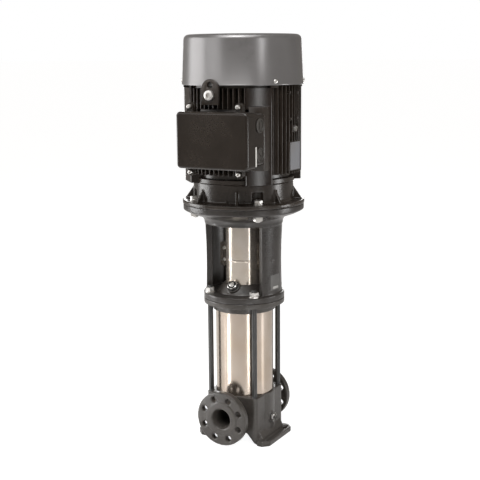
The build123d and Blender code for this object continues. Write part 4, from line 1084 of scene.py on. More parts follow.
@dataclass
class SleevePart(Assembly):
    """The stainless sleeve between its gaskets, and the tie rods with their nuts and washers."""

    wall: float = 0.002
    roll: float = 0.0007
    rod_radius: float = 0.008
    rod_point: float = 0.001
    rod_tip: float = 0.0012
    thread_pitch: float = 0.002
    thread_depth: float = 0.0007
    thread_length: float = 0.030
    # Where a thread's root and its crest lie, as shares of the pitch
    thread_root: float = 0.25
    thread_crest: float = 0.7
    nut_flats: float = 0.024
    nut_washer: float = 0.001
    nut_bore: float = 0.0081
    nut_mouth: float = 0.009
    nut_turn: float = 0.4
    nut_step: float = 1.3
    washer_bore: float = 0.0087
    washer_edge: float = 0.0004

    def build(self) -> None:
        """Build the sleeve and what clamps it."""
        self.sleeve()
        self.rods()
        self.nuts()
        self.washers()
        self.dress(RUBBER, "sleeve_gaskets")

    def sleeve(self) -> None:
        """Turn the sleeve, with slightly rounded rims."""
        low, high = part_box("outer_sleeve")
        outer = high.x
        inner = outer - self.wall
        outline = (
            (outer - self.roll, low.z),
            (outer, low.z + self.roll),
            (outer, high.z - self.roll),
            (outer - self.roll, high.z),
            (inner, high.z),
            (inner, low.z),
            (outer - self.roll, low.z),
        )
        self.finish(Bench.turn("sleeve_tube", outline, steps=192), SLEEVE_STEEL, "outer_sleeve")

    def thread(self, start: float, length: float) -> list[tuple[float, float]]:
        """The ridges of a rolled thread.

        Args:
            start: the height where it starts.
            length: how long it is.

        Returns:
            (radius, height) points from the start upwards.
        """
        root = self.rod_radius - self.thread_depth
        points = []
        for turn in range(round(length / self.thread_pitch)):
            level = start + turn * self.thread_pitch
            points.append((root, level + self.thread_root * self.thread_pitch))
            points.append((self.rod_radius, level + self.thread_crest * self.thread_pitch))
        return points

    def rods(self) -> None:
        """Turn one tie rod with its threads, and copy it to the four corners."""
        low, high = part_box("tie_rods")
        crest = self.rod_radius
        plain_high = high.z - self.thread_length
        outline = [(POLE, low.z), (crest - self.rod_point, low.z)]
        outline += self.thread(low.z + self.rod_point / 2, self.thread_length - self.rod_point)
        outline += [(crest, low.z + self.thread_length), (crest, plain_high)]
        outline += self.thread(plain_high, self.thread_length - 2 * self.rod_point)
        outline += [(crest - self.rod_tip, high.z), (POLE, high.z)]
        rod = Bench.turn("tie_rod", outline, steps=32)
        places = upright(corners("tie_rods", crest), 0.0)
        self.fasten("tie_rods_black", "tie_rods", Bench.copies(rod, places), ROD_ENAMEL)

    def nuts(self) -> None:
        """Make one tie rod nut, bore it, and set the four of them."""
        low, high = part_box("tie_rod_nuts")
        height = high.z - low.z
        nut = Bench.bolt_head("tie_nut", self.nut_flats, height, self.nut_washer)
        outline = (
            (POLE, -MM),
            (self.nut_bore, -MM),
            (self.nut_bore, height - MM),
            (self.nut_mouth, height + 0.3 * MM),
            (POLE, height + 0.3 * MM),
        )
        Bench.cut(nut, Bench.turn("bore", outline, steps=32))
        places = upright(corners("tie_rods", self.rod_radius), low.z, self.nut_turn, self.nut_step)
        self.fasten("tie_rod_nuts_zinc", "tie_rod_nuts", Bench.copies(nut, places))

    def washers(self) -> None:
        """Make one tie rod washer and set the four of them."""
        low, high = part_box("tie_rod_washers")
        spots = corners("tie_rods", self.rod_radius)
        outer = (high.x - low.x) / 2 - spots[-1][0]
        washer = Bench.washer(
            "tie_washer", self.washer_bore, outer, 0.0, high.z - low.z, self.washer_edge
        )
        self.fasten("tie_rod_washers_zinc", "tie_rod_washers", Bench.copies(washer, upright(spots, low.z)))


@dataclass
class HeadPart(Assembly):
    """The pump head inside the stool, with the vent plug on its slope."""

    voxel: float = 0.0018
    vent_flats: float = 0.027
    vent_head: float = 0.009
    vent_washer: float = 0.0012
    vent_knob: float = 0.003
    vent_turn: float = 0.2
    ring_thickness: float = 0.002
    tilt: float = math.radians(45)

    def build(self) -> None:
        """Build the head casting and its plug."""
        self.finish(Bench.casting("pump_head", "head_casting", self.voxel), CASTING, "pump_head")
        outward = Vector((0.0, -math.cos(self.tilt), math.sin(self.tilt)))
        seat = centre("vent_plug_ring") + outward * self.ring_thickness / 2
        turn = Matrix.Rotation(self.tilt, 4, "X") @ Matrix.Rotation(self.vent_turn, 4, "Z")
        plug = Bench.put(self.plug(), Matrix.Translation(seat) @ turn)
        self.finish(Bench.smooth(plug, FASTENER_ANGLE), ZINC, "vent_plug")
        self.dress(RUBBER, "vent_plug_ring")

    def plug(self) -> Piece:
        """Make the vent plug, a hexagon with a round knob on it.

        Returns:
            The plug, standing on z = 0.
        """
        head = Bench.bolt_head("vent_plug_hex", self.vent_flats, self.vent_head, self.vent_washer)
        radius = self.vent_flats / 4
        foot, knob = self.vent_head, self.vent_knob
        outline = (
            (radius + MM, foot - MM),
            (radius, foot + MM / 2),
            (radius, foot + 0.6 * knob),
            (0.8 * radius, foot + 0.95 * knob),
            (POLE, foot + knob),
        )
        return Bench.join("vent_plug_zinc", [head, Bench.turn("vent_knob", outline, steps=40)])


@dataclass
class StoolPart(Assembly):
    """The motor stool with its bare label, and the motor's flange bolts and nuts."""

    voxel: float = 0.0021
    wall_low: float = 0.458
    wall_high: float = 0.668
    wall_foot: float = 0.115
    wall_waist: float = 0.1135
    wall_top: float = 0.116
    label_angle: float = math.radians(-6)
    label_width: float = 0.046
    label_low: float = 0.473
    label_high: float = 0.519
    label_gap: float = 0.0006
    field_margin: float = 0.004
    field_height: float = 0.007
    field_width: float = 0.026
    bolt_radius: float = 0.008
    bolt_point: float = 0.0012
    bolt_flats: float = 0.024
    bolt_reach: float = 0.150
    bolt_washer: float = 0.0012
    bolt_turn: float = 0.25
    bolt_step: float = 0.9
    nut_step: float = 0.7
    washer_bore: float = 0.0085
    washer_radius: float = 0.015
    washer_edge: float = 0.0005

    def build(self) -> None:
        """Build the stool and its fasteners."""
        casting = Bench.casting("motor_stool", "stool_casting", self.voxel)
        self.finish(casting, STOOL_CASTING, "motor_stool")
        self.label()
        self.bolts()

    def wall_radius(self, level: float) -> float:
        """The outer radius of the curved wall at a height."""
        share = (level - self.wall_low) / (self.wall_high - self.wall_low)
        ends = self.wall_foot + (self.wall_top - self.wall_foot) * share
        belly = (self.wall_foot + self.wall_top) / 2 - self.wall_waist
        return ends - 4 * share * (1 - share) * belly

    def film(self, name: str, low: float, high: float, width: float, proud: float) -> Piece:
        """A thin film that follows the curved wall.

        Args:
            name: the piece's name.
            low: the height of its lower edge.
            high: the height of its upper edge.
            width: its width round the wall.
            proud: how far its face stands off the wall.

        Returns:
            The film.
        """
        levels = [low + (high - low) * step / 4 for step in range(5)]
        outline = [(self.wall_radius(level) + proud, level) for level in levels]
        outline += [(self.wall_radius(level) - MM, level) for level in reversed(levels)]
        outline.append(outline[0])
        film = Bench.turn(name, outline, steps=288)
        Bench.keep(film, RIGHT)
        for side in SIDES:
            edge = self.label_angle + side * width / 2 / self.wall_foot
            Bench.keep(film, (side * math.sin(edge), -side * math.cos(edge), 0.0))
        return Bench.smooth(film)

    def label(self) -> None:
        """Lay the bare label and its pale field on the right wall."""
        gap = self.label_gap
        plate = self.film("stool_label", self.label_low, self.label_high, self.label_width, gap)
        self.finish(plate, LABEL_DARK)
        low = self.label_low + self.field_margin
        high = low + self.field_height
        self.finish(self.film("stool_label_field", low, high, self.field_width, 2 * gap), LABEL_PALE)

    def bolts(self) -> None:
        """Make the flange bolts, their washers and their nuts."""
        low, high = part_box("flange_bolts")
        nut_low, nut_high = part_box("flange_nuts")
        washer_low, washer_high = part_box("flange_washers")
        foot, seat = low.z, washer_high.z
        turns = [math.radians(45 + 90 * quarter) for quarter in range(4)]
        spots = [(self.bolt_reach * math.cos(turn), self.bolt_reach * math.sin(turn)) for turn in turns]
        level = upright(spots, 0.0)
        washer = Bench.washer(
            "flange_washer", self.washer_bore, self.washer_radius, washer_low.z, seat, self.washer_edge
        )
        self.fasten("flange_washers_zinc", "flange_washers", Bench.copies(washer, level))
        head = Bench.bolt_head("flange_bolt", self.bolt_flats, high.z - seat, self.bolt_washer)
        heads = Bench.copies(head, upright(spots, seat, self.bolt_turn, self.bolt_step))
        outline = (
            (POLE, foot),
            (self.bolt_radius - self.bolt_point, foot),
            (self.bolt_radius, foot + self.bolt_point),
            (self.bolt_radius, seat + MM),
        )
        shanks = Bench.copies(Bench.turn("shank", outline, steps=24), level)
        self.fasten("flange_bolts_zinc", "flange_bolts", heads + shanks)
        nut = Bench.bolt_head("flange_nut", self.bolt_flats, nut_high.z - nut_low.z, self.bolt_washer)
        places = [
            facing((x, y, nut_high.z), DOWN, self.nut_step * number) for number, (x, y) in enumerate(spots)
        ]
        self.fasten("flange_nuts_zinc", "flange_nuts", Bench.copies(nut, places))


@dataclass
class GuardPart(Assembly):
    """The coupling guard: two stainless half shells with flat ears, screwed together."""

    wall: float = 0.0015
    rim: float = 0.0004
    bead_level: float = 0.556
    bead: float = 0.0008
    bead_run: float = 0.003
    bead_crest: float = 0.0012
    bead_hold: float = 0.0006
    ear_low: float = 0.527
    ear_height: float = 0.074
    ear_corner: float = 0.006
    screw_head: float = 0.0055
    screw_rise: float = 0.003
    screw_shank: float = 0.003
    screw_length: float = 0.012
    screw_pitch: float = 0.037

    def build(self) -> None:
        """Build both halves and their screws."""
        for side, node in zip(SIDES, ("guard_front", "guard_back")):
            self.finish(self.half(node, side), GUARD_STEEL, node)
        self.screws()

    def half(self, node: str, side: int) -> Piece:
        """Turn one half shell with its bead and set its ears.

        Args:
            node: the construction node that it replaces.
            side: -1 for the front, 1 for the back.

        Returns:
            The half shell.
        """
        low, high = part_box(node)
        outer = max(-low.y, high.y)
        inner = outer - self.wall
        # Two rings close beside the bead hold the plain wall's shading straight
        hold = self.bead_run + self.bead_hold
        bead = (
            (0.0, -hold),
            (0.0, -self.bead_run),
            (self.bead, -self.bead_crest),
            (self.bead, self.bead_crest),
            (0.0, self.bead_run),
            (0.0, hold),
        )
        outline = [(outer - self.rim, low.z), (outer, low.z + self.rim)]
        outline += [(outer + rise, self.bead_level + step) for rise, step in bead]
        outline += [(outer, high.z - self.rim), (outer - self.rim, high.z), (inner, high.z)]
        outline += [(inner + rise, self.bead_level + step) for rise, step in reversed(bead)]
        outline += [(inner, low.z), (outer - self.rim, low.z)]
        shell = Bench.turn(f"{node}_shell", outline, steps=160)
        Bench.keep(shell, (0.0, float(side), 0.0))
        front, back = sorted((0.0, side * self.wall))
        ears = [
            self.ear((low.x, front, self.ear_low), (-inner, back, self.ear_low + self.ear_height), low.x),
            self.ear((inner, front, self.ear_low), (high.x, back, self.ear_low + self.ear_height), high.x),
        ]
        return Bench.smooth(Bench.join(f"{node}_steel", [shell, *ears]))

    def ear(self, low: Point, high: Point, tip: float) -> Piece:
        """One flat ear with its two outer corners rounded.

        Args:
            low: its lowest corner.
            high: its highest corner.
            tip: where its outer end lies along X.

        Returns:
            The ear.
        """
        ear = Bench.block("ear", low, high)
        Bench.round_edges(
            ear, lambda ends: Axis.X.holds(ends, tip) and Axis.Y.along(ends), self.ear_corner, 5
        )
        return ear

    def screws(self) -> None:
        """Make one screw and set the four of them."""
        low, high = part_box("guard_front")
        reach = (high.x - low.y) / 2
        middle = self.ear_low + self.ear_height / 2
        screw = Bench.pan_screw(
            "guard_screw", self.screw_head, self.screw_rise, self.screw_shank, self.screw_length
        )
        places = [
            facing((side * reach, -self.wall, middle + level * self.screw_pitch / 2), FRONT, side + level)
            for side in SIDES
            for level in SIDES
        ]
        self.fasten("guard_screws_zinc", "guard_screws", Bench.copies(screw, places))


@dataclass
class FanCoverPart(Assembly):
    """The sheet cover over the fan, with rings of slots in its top, and its screws."""

    wall: float = 0.002
    shoulder: float = 0.015
    shoulder_steps: int = 12
    top_radius: float = 0.172
    hem: float = 0.0006
    hem_height: float = 0.003
    slot_rings: tuple[tuple[float, int], ...] = ((0.046, 12), (0.078, 18), (0.110, 24))
    slot_length: float = 0.022
    slot_width: float = 0.009
    slot_round: float = 0.002
    screw_angles: tuple[float, ...] = (30.0, 150.0, 210.0, 330.0)
    screw_head: float = 0.006
    screw_rise: float = 0.004
    screw_shank: float = 0.003
    screw_length: float = 0.024
    screw_gap: float = 0.0004

    def build(self) -> None:
        """Build the cover and its screws."""
        self.shell()
        self.screws()

    def bend(self, radius: float, top: float) -> list[tuple[float, float]]:
        """The quarter round from the cover's side to its top.

        Args:
            radius: the radius of the round.
            top: the height of the cover's outer face.

        Returns:
            (radius, height) points from the side upwards.
        """
        turns = [math.radians(90 * step / self.shoulder_steps) for step in range(self.shoulder_steps + 1)]
        middle, level = self.top_radius - self.shoulder, top - self.shoulder
        return [(middle + radius * math.cos(turn), level + radius * math.sin(turn)) for turn in turns]

    def shell(self) -> None:
        """Turn the drawn shell with its hem, and cut the slots."""
        low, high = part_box("fan_cover")
        rim, hem = high.x, self.hem
        outline = [
            (rim - hem, low.z),
            (rim + hem, low.z + hem),
            (rim + hem, low.z + self.hem_height),
            (rim, low.z + self.hem_height + 2 * hem),
            *self.bend(self.shoulder, high.z),
            (POLE, high.z),
            (POLE, high.z - self.wall),
            *reversed(self.bend(self.shoulder - self.wall, high.z)),
            (rim - self.wall, low.z + hem),
            (rim - hem, low.z),
        ]
        cover = Bench.turn("fan_cover_sheet", outline, steps=192)
        half_length, half_width = self.slot_length / 2, self.slot_width / 2
        tools = []
        for radius, count in self.slot_rings:
            slot = Bench.block(
                "slot",
                (radius - half_length, -half_width, high.z - 3 * self.wall),
                (radius + half_length, half_width, high.z + self.wall),
            )
            Bench.round_edges(slot, Axis.Z.along, self.slot_round, 3)
            turns = [Matrix.Rotation(math.tau * turn / count, 4, "Z") for turn in range(count)]
            tools += Bench.copies(slot, turns)
        Bench.cut(cover, Bench.join("slots", tools))
        self.finish(Bench.smooth(cover, FASTENER_ANGLE), COVER_PAINT, "fan_cover")

    def screws(self) -> None:
        """Make one screw and set the four of them round the rim."""
        low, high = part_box("fan_cover")
        level = centre("fan_cover_screws").z
        slope = (high.x - self.top_radius) / (high.z - self.shoulder - low.z)
        seat = high.x - slope * (level - low.z) + self.screw_gap
        screw = Bench.pan_screw(
            "cover_screw", self.screw_head, self.screw_rise, self.screw_shank, self.screw_length
        )
        places = []
        for angle in self.screw_angles:
            outward = Vector((math.cos(math.radians(angle)), math.sin(math.radians(angle)), 0.0))
            places.append(facing((seat * outward.x, seat * outward.y, level), outward, angle))
        self.fasten("fan_cover_screws_zinc", "fan_cover_screws", Bench.copies(screw, places))


@dataclass
class TerminalBoxPart(Assembly):
    """The terminal box on the motor, its lid, its screws and the plugs in its cable entries."""

    voxel: float = 0.0015
    lid_height: float = 0.157
    lid_corner: float = 0.012
    lid_round: float = 0.006
    lid_rim: float = 0.0115
    lid_skin: float = 0.004
    ear_centre_x: float = 0.0295
    ear_span_x: float = 0.156
    ear_span_z: float = 0.183
    ear_width: float = 0.022
    ear_thickness: float = 0.007
    ear_edge: float = 0.001
    screw_head: float = 0.0065
    screw_rise: float = 0.008
    screw_shank: float = 0.004
    screw_length: float = 0.016
    plug_radius: float = 0.020
    plug_edge: float = 0.0008
    plug_head: float = 0.004
    plug_stem: float = 0.0158
    plug_depth: float = 0.006
    plug_rim: float = 0.003
    plug_lead: float = 0.0006
    plug_recess: float = 0.003
    plug_spacing: float = 0.080
    plug_y: float = -0.168
    slot_length: float = 0.022
    slot_width: float = 0.004
    slot_depth: float = 0.005
    slot_top: float = 0.01
    strip_low: Point = (0.1455, -0.196, 0.860)
    strip_high: Point = (0.1485, -0.1885, 0.914)
    strip_edge: float = 0.0003

    def build(self) -> None:
        """Build the box and all that is on it."""
        self.finish(
            Bench.casting("terminal_box", "terminal_box_casting", self.voxel), BOX_ENAMEL, "terminal_box"
        )
        self.lid()
        self.screws()
        self.plugs()
        self.finish(
            Bench.block("box_side_strip", self.strip_low, self.strip_high, self.strip_edge), LABEL_WHITE
        )

    def ear_x(self, side: int) -> float:
        """Where the screw ears on one side of the lid lie along X."""
        return self.ear_centre_x + side * self.ear_span_x / 2

    def lid(self) -> None:
        """Round and hollow the lid and set its screw ears."""
        low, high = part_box("terminal_box_lid")
        front, back = low.y, high.y
        middle, half = centre("terminal_box_lid").z, self.lid_height / 2
        lid = Bench.block("lid", (low.x, front, middle - half), (high.x, back, middle + half))
        Bench.round_edges(lid, Axis.Y.along, self.lid_corner, 8)
        Bench.round_edges(lid, lambda ends: Axis.Y.holds(ends, front), self.lid_round, 6)
        Bench.sink(lid, Axis.Y, back, self.lid_rim, back - front - self.lid_skin)
        face = back - self.ear_thickness
        reach, half = (self.ear_span_z + self.ear_width) / 2, self.ear_width / 2
        pieces = [lid]
        for side in SIDES:
            x = self.ear_x(side)
            ear = Bench.block("lid_ear", (x - half, face, middle - reach), (x + half, back, middle + reach))
            Bench.round_edges(ear, Axis.Y.along, half - NEAR, 8)
            Bench.round_edges(ear, lambda ends: Axis.Y.holds(ends, face), self.ear_edge, 2)
            pieces.append(ear)
        joined = Bench.smooth(Bench.join("terminal_lid", pieces), 30.0)
        self.finish(joined, BOX_ENAMEL, "terminal_box_lid")

    def screws(self) -> None:
        """Make one lid screw and set the four of them."""
        middle = centre("terminal_box_lid").z
        reach = self.ear_span_z / 2
        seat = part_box("terminal_box_lid")[1].y - self.ear_thickness
        screw = Bench.pan_screw(
            "lid_screw", self.screw_head, self.screw_rise, self.screw_shank, self.screw_length
        )
        places = [
            facing((self.ear_x(side), seat, middle + level * reach), FRONT, 0.3 * side + level)
            for side in SIDES
            for level in SIDES
        ]
        self.fasten("lid_screws_zinc", "lid_screws", Bench.copies(screw, places))

    def plugs(self) -> None:
        """Turn one entry plug with its raised ring, cut its slot and set both."""
        edge, head, radius = self.plug_edge, self.plug_head, self.plug_radius
        inside = radius - self.plug_rim
        floor = head - self.plug_recess
        outline = (
            (POLE, -self.plug_depth),
            (self.plug_stem, -self.plug_depth),
            (self.plug_stem, 0.0),
            (radius - edge, 0.0),
            (radius, edge),
            (radius, head - edge),
            (radius - edge, head),
            (inside, head),
            (inside - self.plug_lead, floor),
            (POLE, floor),
        )
        plug = Bench.turn("entry_plug", outline, steps=64)
        half_length, half_width = self.slot_length / 2, self.slot_width / 2
        slot = Bench.block(
            "plug_slot",
            (-half_length, -half_width, head - self.slot_depth),
            (half_length, half_width, self.slot_top),
        )
        Bench.cut(plug, slot)
        seat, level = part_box("terminal_box")[1].x, centre("entry_plugs").z
        places = [
            facing((seat, self.plug_y, level + side * self.plug_spacing / 2), RIGHT, 0.4 + side)
            for side in SIDES
        ]
        self.fasten("entry_plugs_black", "entry_plugs", Bench.copies(plug, places), PLUG_PLASTIC)


@dataclass
class MotorPart(Assembly):
    """The motor: finned frame, drive-end shield, lifting lugs, nameplate and earth screw."""

    shield_voxel: float = 0.002
    core: float = 0.141
    core_edge: float = 0.0015
    bore: float = 0.126
    collar: float = 0.152
    collar_height: float = 0.014
    fin_tip: float = 0.1715
    fin_root: float = 0.120
    fin_count: int = 13
    fin_pitch: float = 0.0146
    fin_thickness: float = 0.0034
    fin_round: float = 0.0011
    fin_foot: float = 0.028
    # How far the fins run on, under the fan cover and past the lower edge of the box's gap
    fin_lap: float = 0.010
    panel_face: float = 0.169
    panel_root: float = 0.130
    panel_width: float = 0.078
    panel_round: float = 0.005
    panel_edge: float = 0.0015
    panel_wall: float = 0.007
    panel_pocket: float = 0.250
    pad_y: float = 0.141
    pad_root: float = 0.104
    pad_margin: float = 0.0135
    pad_height: float = 0.163
    pad_edge: float = 0.002
    lug_boss: float = 0.018
    lug_thickness: float = 0.010
    lug_round: float = 0.0012
    screw_level: float = 1.052
    screw_head: float = 0.0145
    screw_rise: float = 0.009
    screw_socket: float = 0.014
    screw_shank: float = 0.007
    screw_length: float = 0.030
    screw_turn: float = 0.35
    plate_rim: float = 0.003
    plate_pad_edge: float = 0.0015
    plate_edge: float = 0.0025
    plate_frame: float = 0.002
    plate_sink: float = 0.0003
    rivet: float = 0.002
    rivet_inset: float = 0.005
    earth_boss: float = 0.012
    earth_level: float = 0.953
    earth_flats: float = 0.013
    earth_shank: float = 0.004
    earth_turn: float = 0.2
    root_depth: float = 0.0005
    drum_radius: float = 0.149
    drum_depth: float = 0.008
    drum_rise: float = 0.0018
    # Degrees from +X, height and radius of each core plug on the drum
    drum_plugs: tuple[tuple[float, float, float], ...] = (
        (-79.5, 0.748, 0.005),
        (-60.0, 0.748, 0.004),
        (-15.5, 0.752, 0.0045),
        (-52.0, 0.746, 0.0035),
        (-58.0, 0.772, 0.003),
    )
    pad_boss: float = 0.0045
    pad_boss_reach: float = 0.1715
    # The y and z of each small boss between the fins on the +X side
    pad_bosses: tuple[tuple[float, float], ...] = (
        (-0.0295, 1.057),
        (0.0225, 1.055),
        (-0.0235, 0.9815),
        (0.017, 0.983),
    )

    def build(self) -> None:
        """Build the motor's outside."""
        self.shield()
        self.dress(MOTOR_CASTING, "end_shield")
        self.jacket()
        self.lugs()
        self.nameplate()
        self.earth()

    def shield(self) -> None:
        """Soften the drive-end shield and set the core plugs on its drum."""
        pieces = [Bench.casting("drive_end_shield", "shield_casting", self.shield_voxel)]
        for degrees, level, radius in self.drum_plugs:
            start, end = self.drum_radius - self.drum_depth, self.drum_radius + self.drum_rise
            turn = math.radians(degrees)
            place = facing((0.0, 0.0, level), (math.cos(turn), math.sin(turn), 0.0))
            pieces.append(Bench.put(Bench.boss("drum_plug", radius, start, end), place))
        self.finish(Bench.join("shield_casting", pieces), MOTOR_CASTING, "drive_end_shield")

    def fin(self, reach: float, low: float, high: float) -> Piece:
        """One fin along +X with rounded edges.

        Args:
            reach: how far from the shaft its tip is.
            low: the height of its foot.
            high: the height of its top.

        Returns:
            The fin.
        """
        half, clear = self.fin_thickness / 2, self.fin_root + MM
        fin = Bench.block("fin", (self.fin_root, -half, low), (reach, half, high))
        Bench.round_edges(fin, lambda ends: max(end.x for end in ends) > clear, self.fin_round, 3)
        return fin

    def gap(self) -> tuple[float, float]:
        """The heights between which the front fins leave room for the terminal box."""
        middle = centre("terminal_box").z
        return middle - self.pad_height / 2, middle + self.pad_height / 2

    def fins(self, foot: float, top: float) -> list[Piece]:
        """All fins, four groups of parallel ones, with a gap at the front for the terminal box.

        Args:
            foot: the height of their feet.
            top: the height of the frame's top.

        Returns:
            The fins.
        """
        box_low, box_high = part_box("terminal_box_lid")
        gap_left, gap_right = box_low.x - self.fin_thickness, box_high.x + self.fin_thickness
        gap_low, gap_high = self.gap()
        made = []
        for step in range(self.fin_count // 2 + 1):
            offset = step * self.fin_pitch
            reach = math.sqrt(self.fin_tip**2 - offset**2)
            whole, cut = [], []
            for y in (offset, -offset) if step else (0.0,):
                for quarter in range(4):
                    turn = Matrix.Rotation(math.pi / 2 * quarter, 4, "Z")
                    behind_box = quarter == 3 and gap_left < y < gap_right
                    (cut if behind_box else whole).append(turn @ Matrix.Translation((0.0, y, 0.0)))
            if whole:
                made += Bench.copies(self.fin(reach, foot, top + self.fin_lap), whole)
            if cut:
                made += Bench.copies(self.fin(reach, foot, gap_low + self.fin_lap), cut)
                made += Bench.copies(self.fin(self.pad_y - MM / 2, gap_low - MM, gap_high + MM), cut)
                made += Bench.copies(self.fin(reach, gap_high, top), cut)
        return made

    def panels(self, low: float, high: float) -> list[Piece]:
        """The four smooth corner panels, each with the air channel behind it.

        Args:
            low: the height of their lower edge.
            high: the height of their upper edge.

        Returns:
            The panels.
        """
        half, face = self.panel_width / 2, self.panel_face
        panel = Bench.block("panel", (self.panel_root, -half, low), (face, half, high))
        Bench.round_edges(
            panel, lambda ends: Axis.X.holds(ends, face) and Axis.Z.along(ends), self.panel_round, 5
        )
        Bench.round_edges(panel, lambda ends: Axis.Z.holds(ends, low), self.panel_edge, 3)
        Bench.sink(panel, Axis.Z, high, self.panel_wall, self.panel_pocket)
        turns = [math.radians(45 + 90 * quarter) for quarter in range(4)]
        made = Bench.copies(panel, [Matrix.Rotation(turn, 4, "Z") for turn in turns])
        box_low, box_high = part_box("terminal_box_lid")
        gap_low, gap_high = self.gap()
        tool = Bench.block(
            "pad_tool",
            (box_low.x, -self.fin_tip, gap_low),
            (box_high.x + self.fin_thickness, -self.pad_y, gap_high),
        )
        Bench.cut(made[-1], tool)
        return made

    def barrel(self, low: float, high: float) -> Piece:
        """Turn the frame's round core with the collar at its foot.

        Args:
            low: the height of its foot.
            high: the height of its top.

        Returns:
            The core.
        """
        edge, shelf = self.core_edge, low + self.collar_height
        outline = (
            (self.bore, low),
            (self.collar - edge, low),
            (self.collar, low + edge),
            (self.collar, shelf - edge),
            (self.collar - edge, shelf),
            (self.core, shelf + edge),
            (self.core, high - edge),
            (self.core - edge, high),
            (self.bore, high),
            (self.bore, low),
        )
        return Bench.turn("core", outline, steps=160)

    def pads(self) -> list[Piece]:
        """The flat pads for the terminal box and for the nameplate."""
        box_low, box_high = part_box("terminal_box")
        plate_low, plate_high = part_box("nameplate")
        inset, rim = self.pad_margin, self.plate_rim
        box_pad = Bench.block(
            "terminal_pad",
            (box_low.x, -self.pad_y, box_low.z + inset),
            (box_high.x, -self.pad_root, box_high.z - inset),
            self.pad_edge,
        )
        plate_pad = Bench.block(
            "plate_pad",
            (self.panel_root, plate_low.y - rim, plate_low.z - rim),
            (plate_low.x, plate_high.y + rim, plate_high.z + rim),
            self.plate_pad_edge,
        )
        return [box_pad, plate_pad]

    def bosses(self) -> list[Piece]:
        """The bosses under the lug screws, between the fins and under the earth screw."""
        made = []
        for side in SIDES:
            boss = Bench.boss("lug_boss", self.lug_boss, self.bore, self.lug_seat())
            made.append(Bench.put(boss, facing((0.0, 0.0, self.screw_level), (0.0, float(side), 0.0))))
        for y, z in self.pad_bosses:
            boss = Bench.boss("pad_boss", self.pad_boss, self.core, self.pad_boss_reach)
            made.append(Bench.put(boss, facing((0.0, y, z), RIGHT)))
        earth = Bench.boss("earth_boss", self.earth_boss, self.panel_root, self.plate_seat())
        made.append(Bench.put(earth, facing((0.0, 0.0, self.earth_level), RIGHT)))
        return made

    def jacket(self) -> None:
        """Join the core, the fins, the pads and the bosses into the frame, beside its panels."""
        low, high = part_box("motor_frame")
        foot, top = low.z, high.z
        fins = self.fins(foot + self.fin_foot, top)
        pieces = [self.barrel(foot, top), *fins, *self.pads(), *self.bosses()]
        panels = Bench.join("frame_panels", self.panels(foot, top))
        # The panels take the motor enamel darkened with painted shade
        self.finish(Bench.smooth(panels, CAST_ANGLE), SHADED_PANEL_ENAMEL)
        joined = Bench.join("frame_jacket", pieces)
        self.finish(Bench.smooth(joined, CAST_ANGLE), MOTOR_CASTING, "motor_frame")

    def lug_seat(self) -> float:
        """How far from the shaft the lugs' back faces are."""
        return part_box("lifting_lugs")[1].y - self.lug_thickness

    def plate_seat(self) -> float:
        """How far from the shaft the nameplate's back face is."""
        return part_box("nameplate")[0].x

    def screw(self, name: str, head: Piece, radius: float, length: float) -> Piece:
        """Set a round shank under a screw head that stands on z = 0.

        Args:
            name: the screw's name.
            head: the head.
            radius: the shank's radius.
            length: the shank's length.

        Returns:
            The screw.
        """
        shank = Bench.boss(f"{name}_shank", radius, 0.0, length)
        return Bench.join(name, [head, Bench.put(shank, facing((0.0, 0.0, self.root_depth), DOWN))])

    def lugs(self) -> None:
        """Round the lifting lugs and set their socket screws."""
        lugs = Bench.fitted("lifting_lugs", "lifting_lugs_cast", self.lug_round)
        self.finish(lugs, MOTOR_CASTING, "lifting_lugs")
        head = Bench.socket_head("lug_screw", self.screw_head, self.screw_rise, self.screw_socket)
        screw = self.screw("lug_screw", head, self.screw_shank, self.screw_length)
        seat = self.lug_seat() + self.lug_thickness
        places = [
            facing((0.0, side * seat, self.screw_level), (0.0, float(side), 0.0), self.screw_turn)
            for side in SIDES
        ]
        self.fasten("lug_screws_zinc", "lug_screws", Bench.copies(screw, places))

    def nameplate(self) -> None:
        """Round the bare plate's corners, frame its face and rivet it on."""
        low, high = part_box("nameplate")
        plate = Bench.block("plate", tuple(low), tuple(high))
        Bench.round_edges(plate, Axis.X.along, self.plate_edge, 4)
        Bench.sink(plate, Axis.X, high.x, self.plate_frame, self.plate_sink)
        rivet = Bench.boss("rivet", self.rivet, 0.0, self.rivet)
        inset, seat = self.rivet_inset, high.x - self.root_depth
        places = [
            facing((seat, y, z), RIGHT)
            for y in (low.y + inset, high.y - inset)
            for z in (low.z + inset, high.z - inset)
        ]
        self.fasten("nameplate_bare", "nameplate", [plate, *Bench.copies(rivet, places)], LABEL_METAL)

    def earth(self) -> None:
        """Make the earth screw above the plate."""
        low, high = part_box("earth_screw")
        seat = self.plate_seat()
        head = Bench.bolt_head("earth_head", self.earth_flats, high.x - seat, MM)
        screw = self.screw("earth_screw_zinc", head, self.earth_shank, seat - low.x)
        Bench.put(screw, facing((seat, 0.0, self.earth_level), RIGHT, self.earth_turn))
        self.finish(Bench.smooth(screw, FASTENER_ANGLE), ZINC, "earth_screw")


@dataclass
class InnerParts(Assembly):
    """Everything inside, which keeps its construction shape."""

    def build(self) -> None:
        """Dress the inner nodes."""
        stages = [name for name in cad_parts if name.startswith(("chamber_", "impeller_"))]
        self.dress(INNER_STEEL, "inlet_ring", "neck_rings", *stages)
        self.dress(SHAFT_STEEL, "pump_shaft", "motor_shaft", "bearing_outer_rings", "bearing_inner_rings")
        self.dress(SHAFT_STEEL, "stator_core", "rotor_core")
        self.dress(CERAMIC, "seal_seat", "seal_ring")
        self.dress(COPPER, "end_windings")
        self.dress(FAN_PLASTIC, "fan", "terminal_board")
        self.dress(RUBBER, "terminal_box_gasket")
        self.dress(CASTING, "coupling_half_front", "coupling_half_back")
        self.dress(ZINC, "coupling_screws")


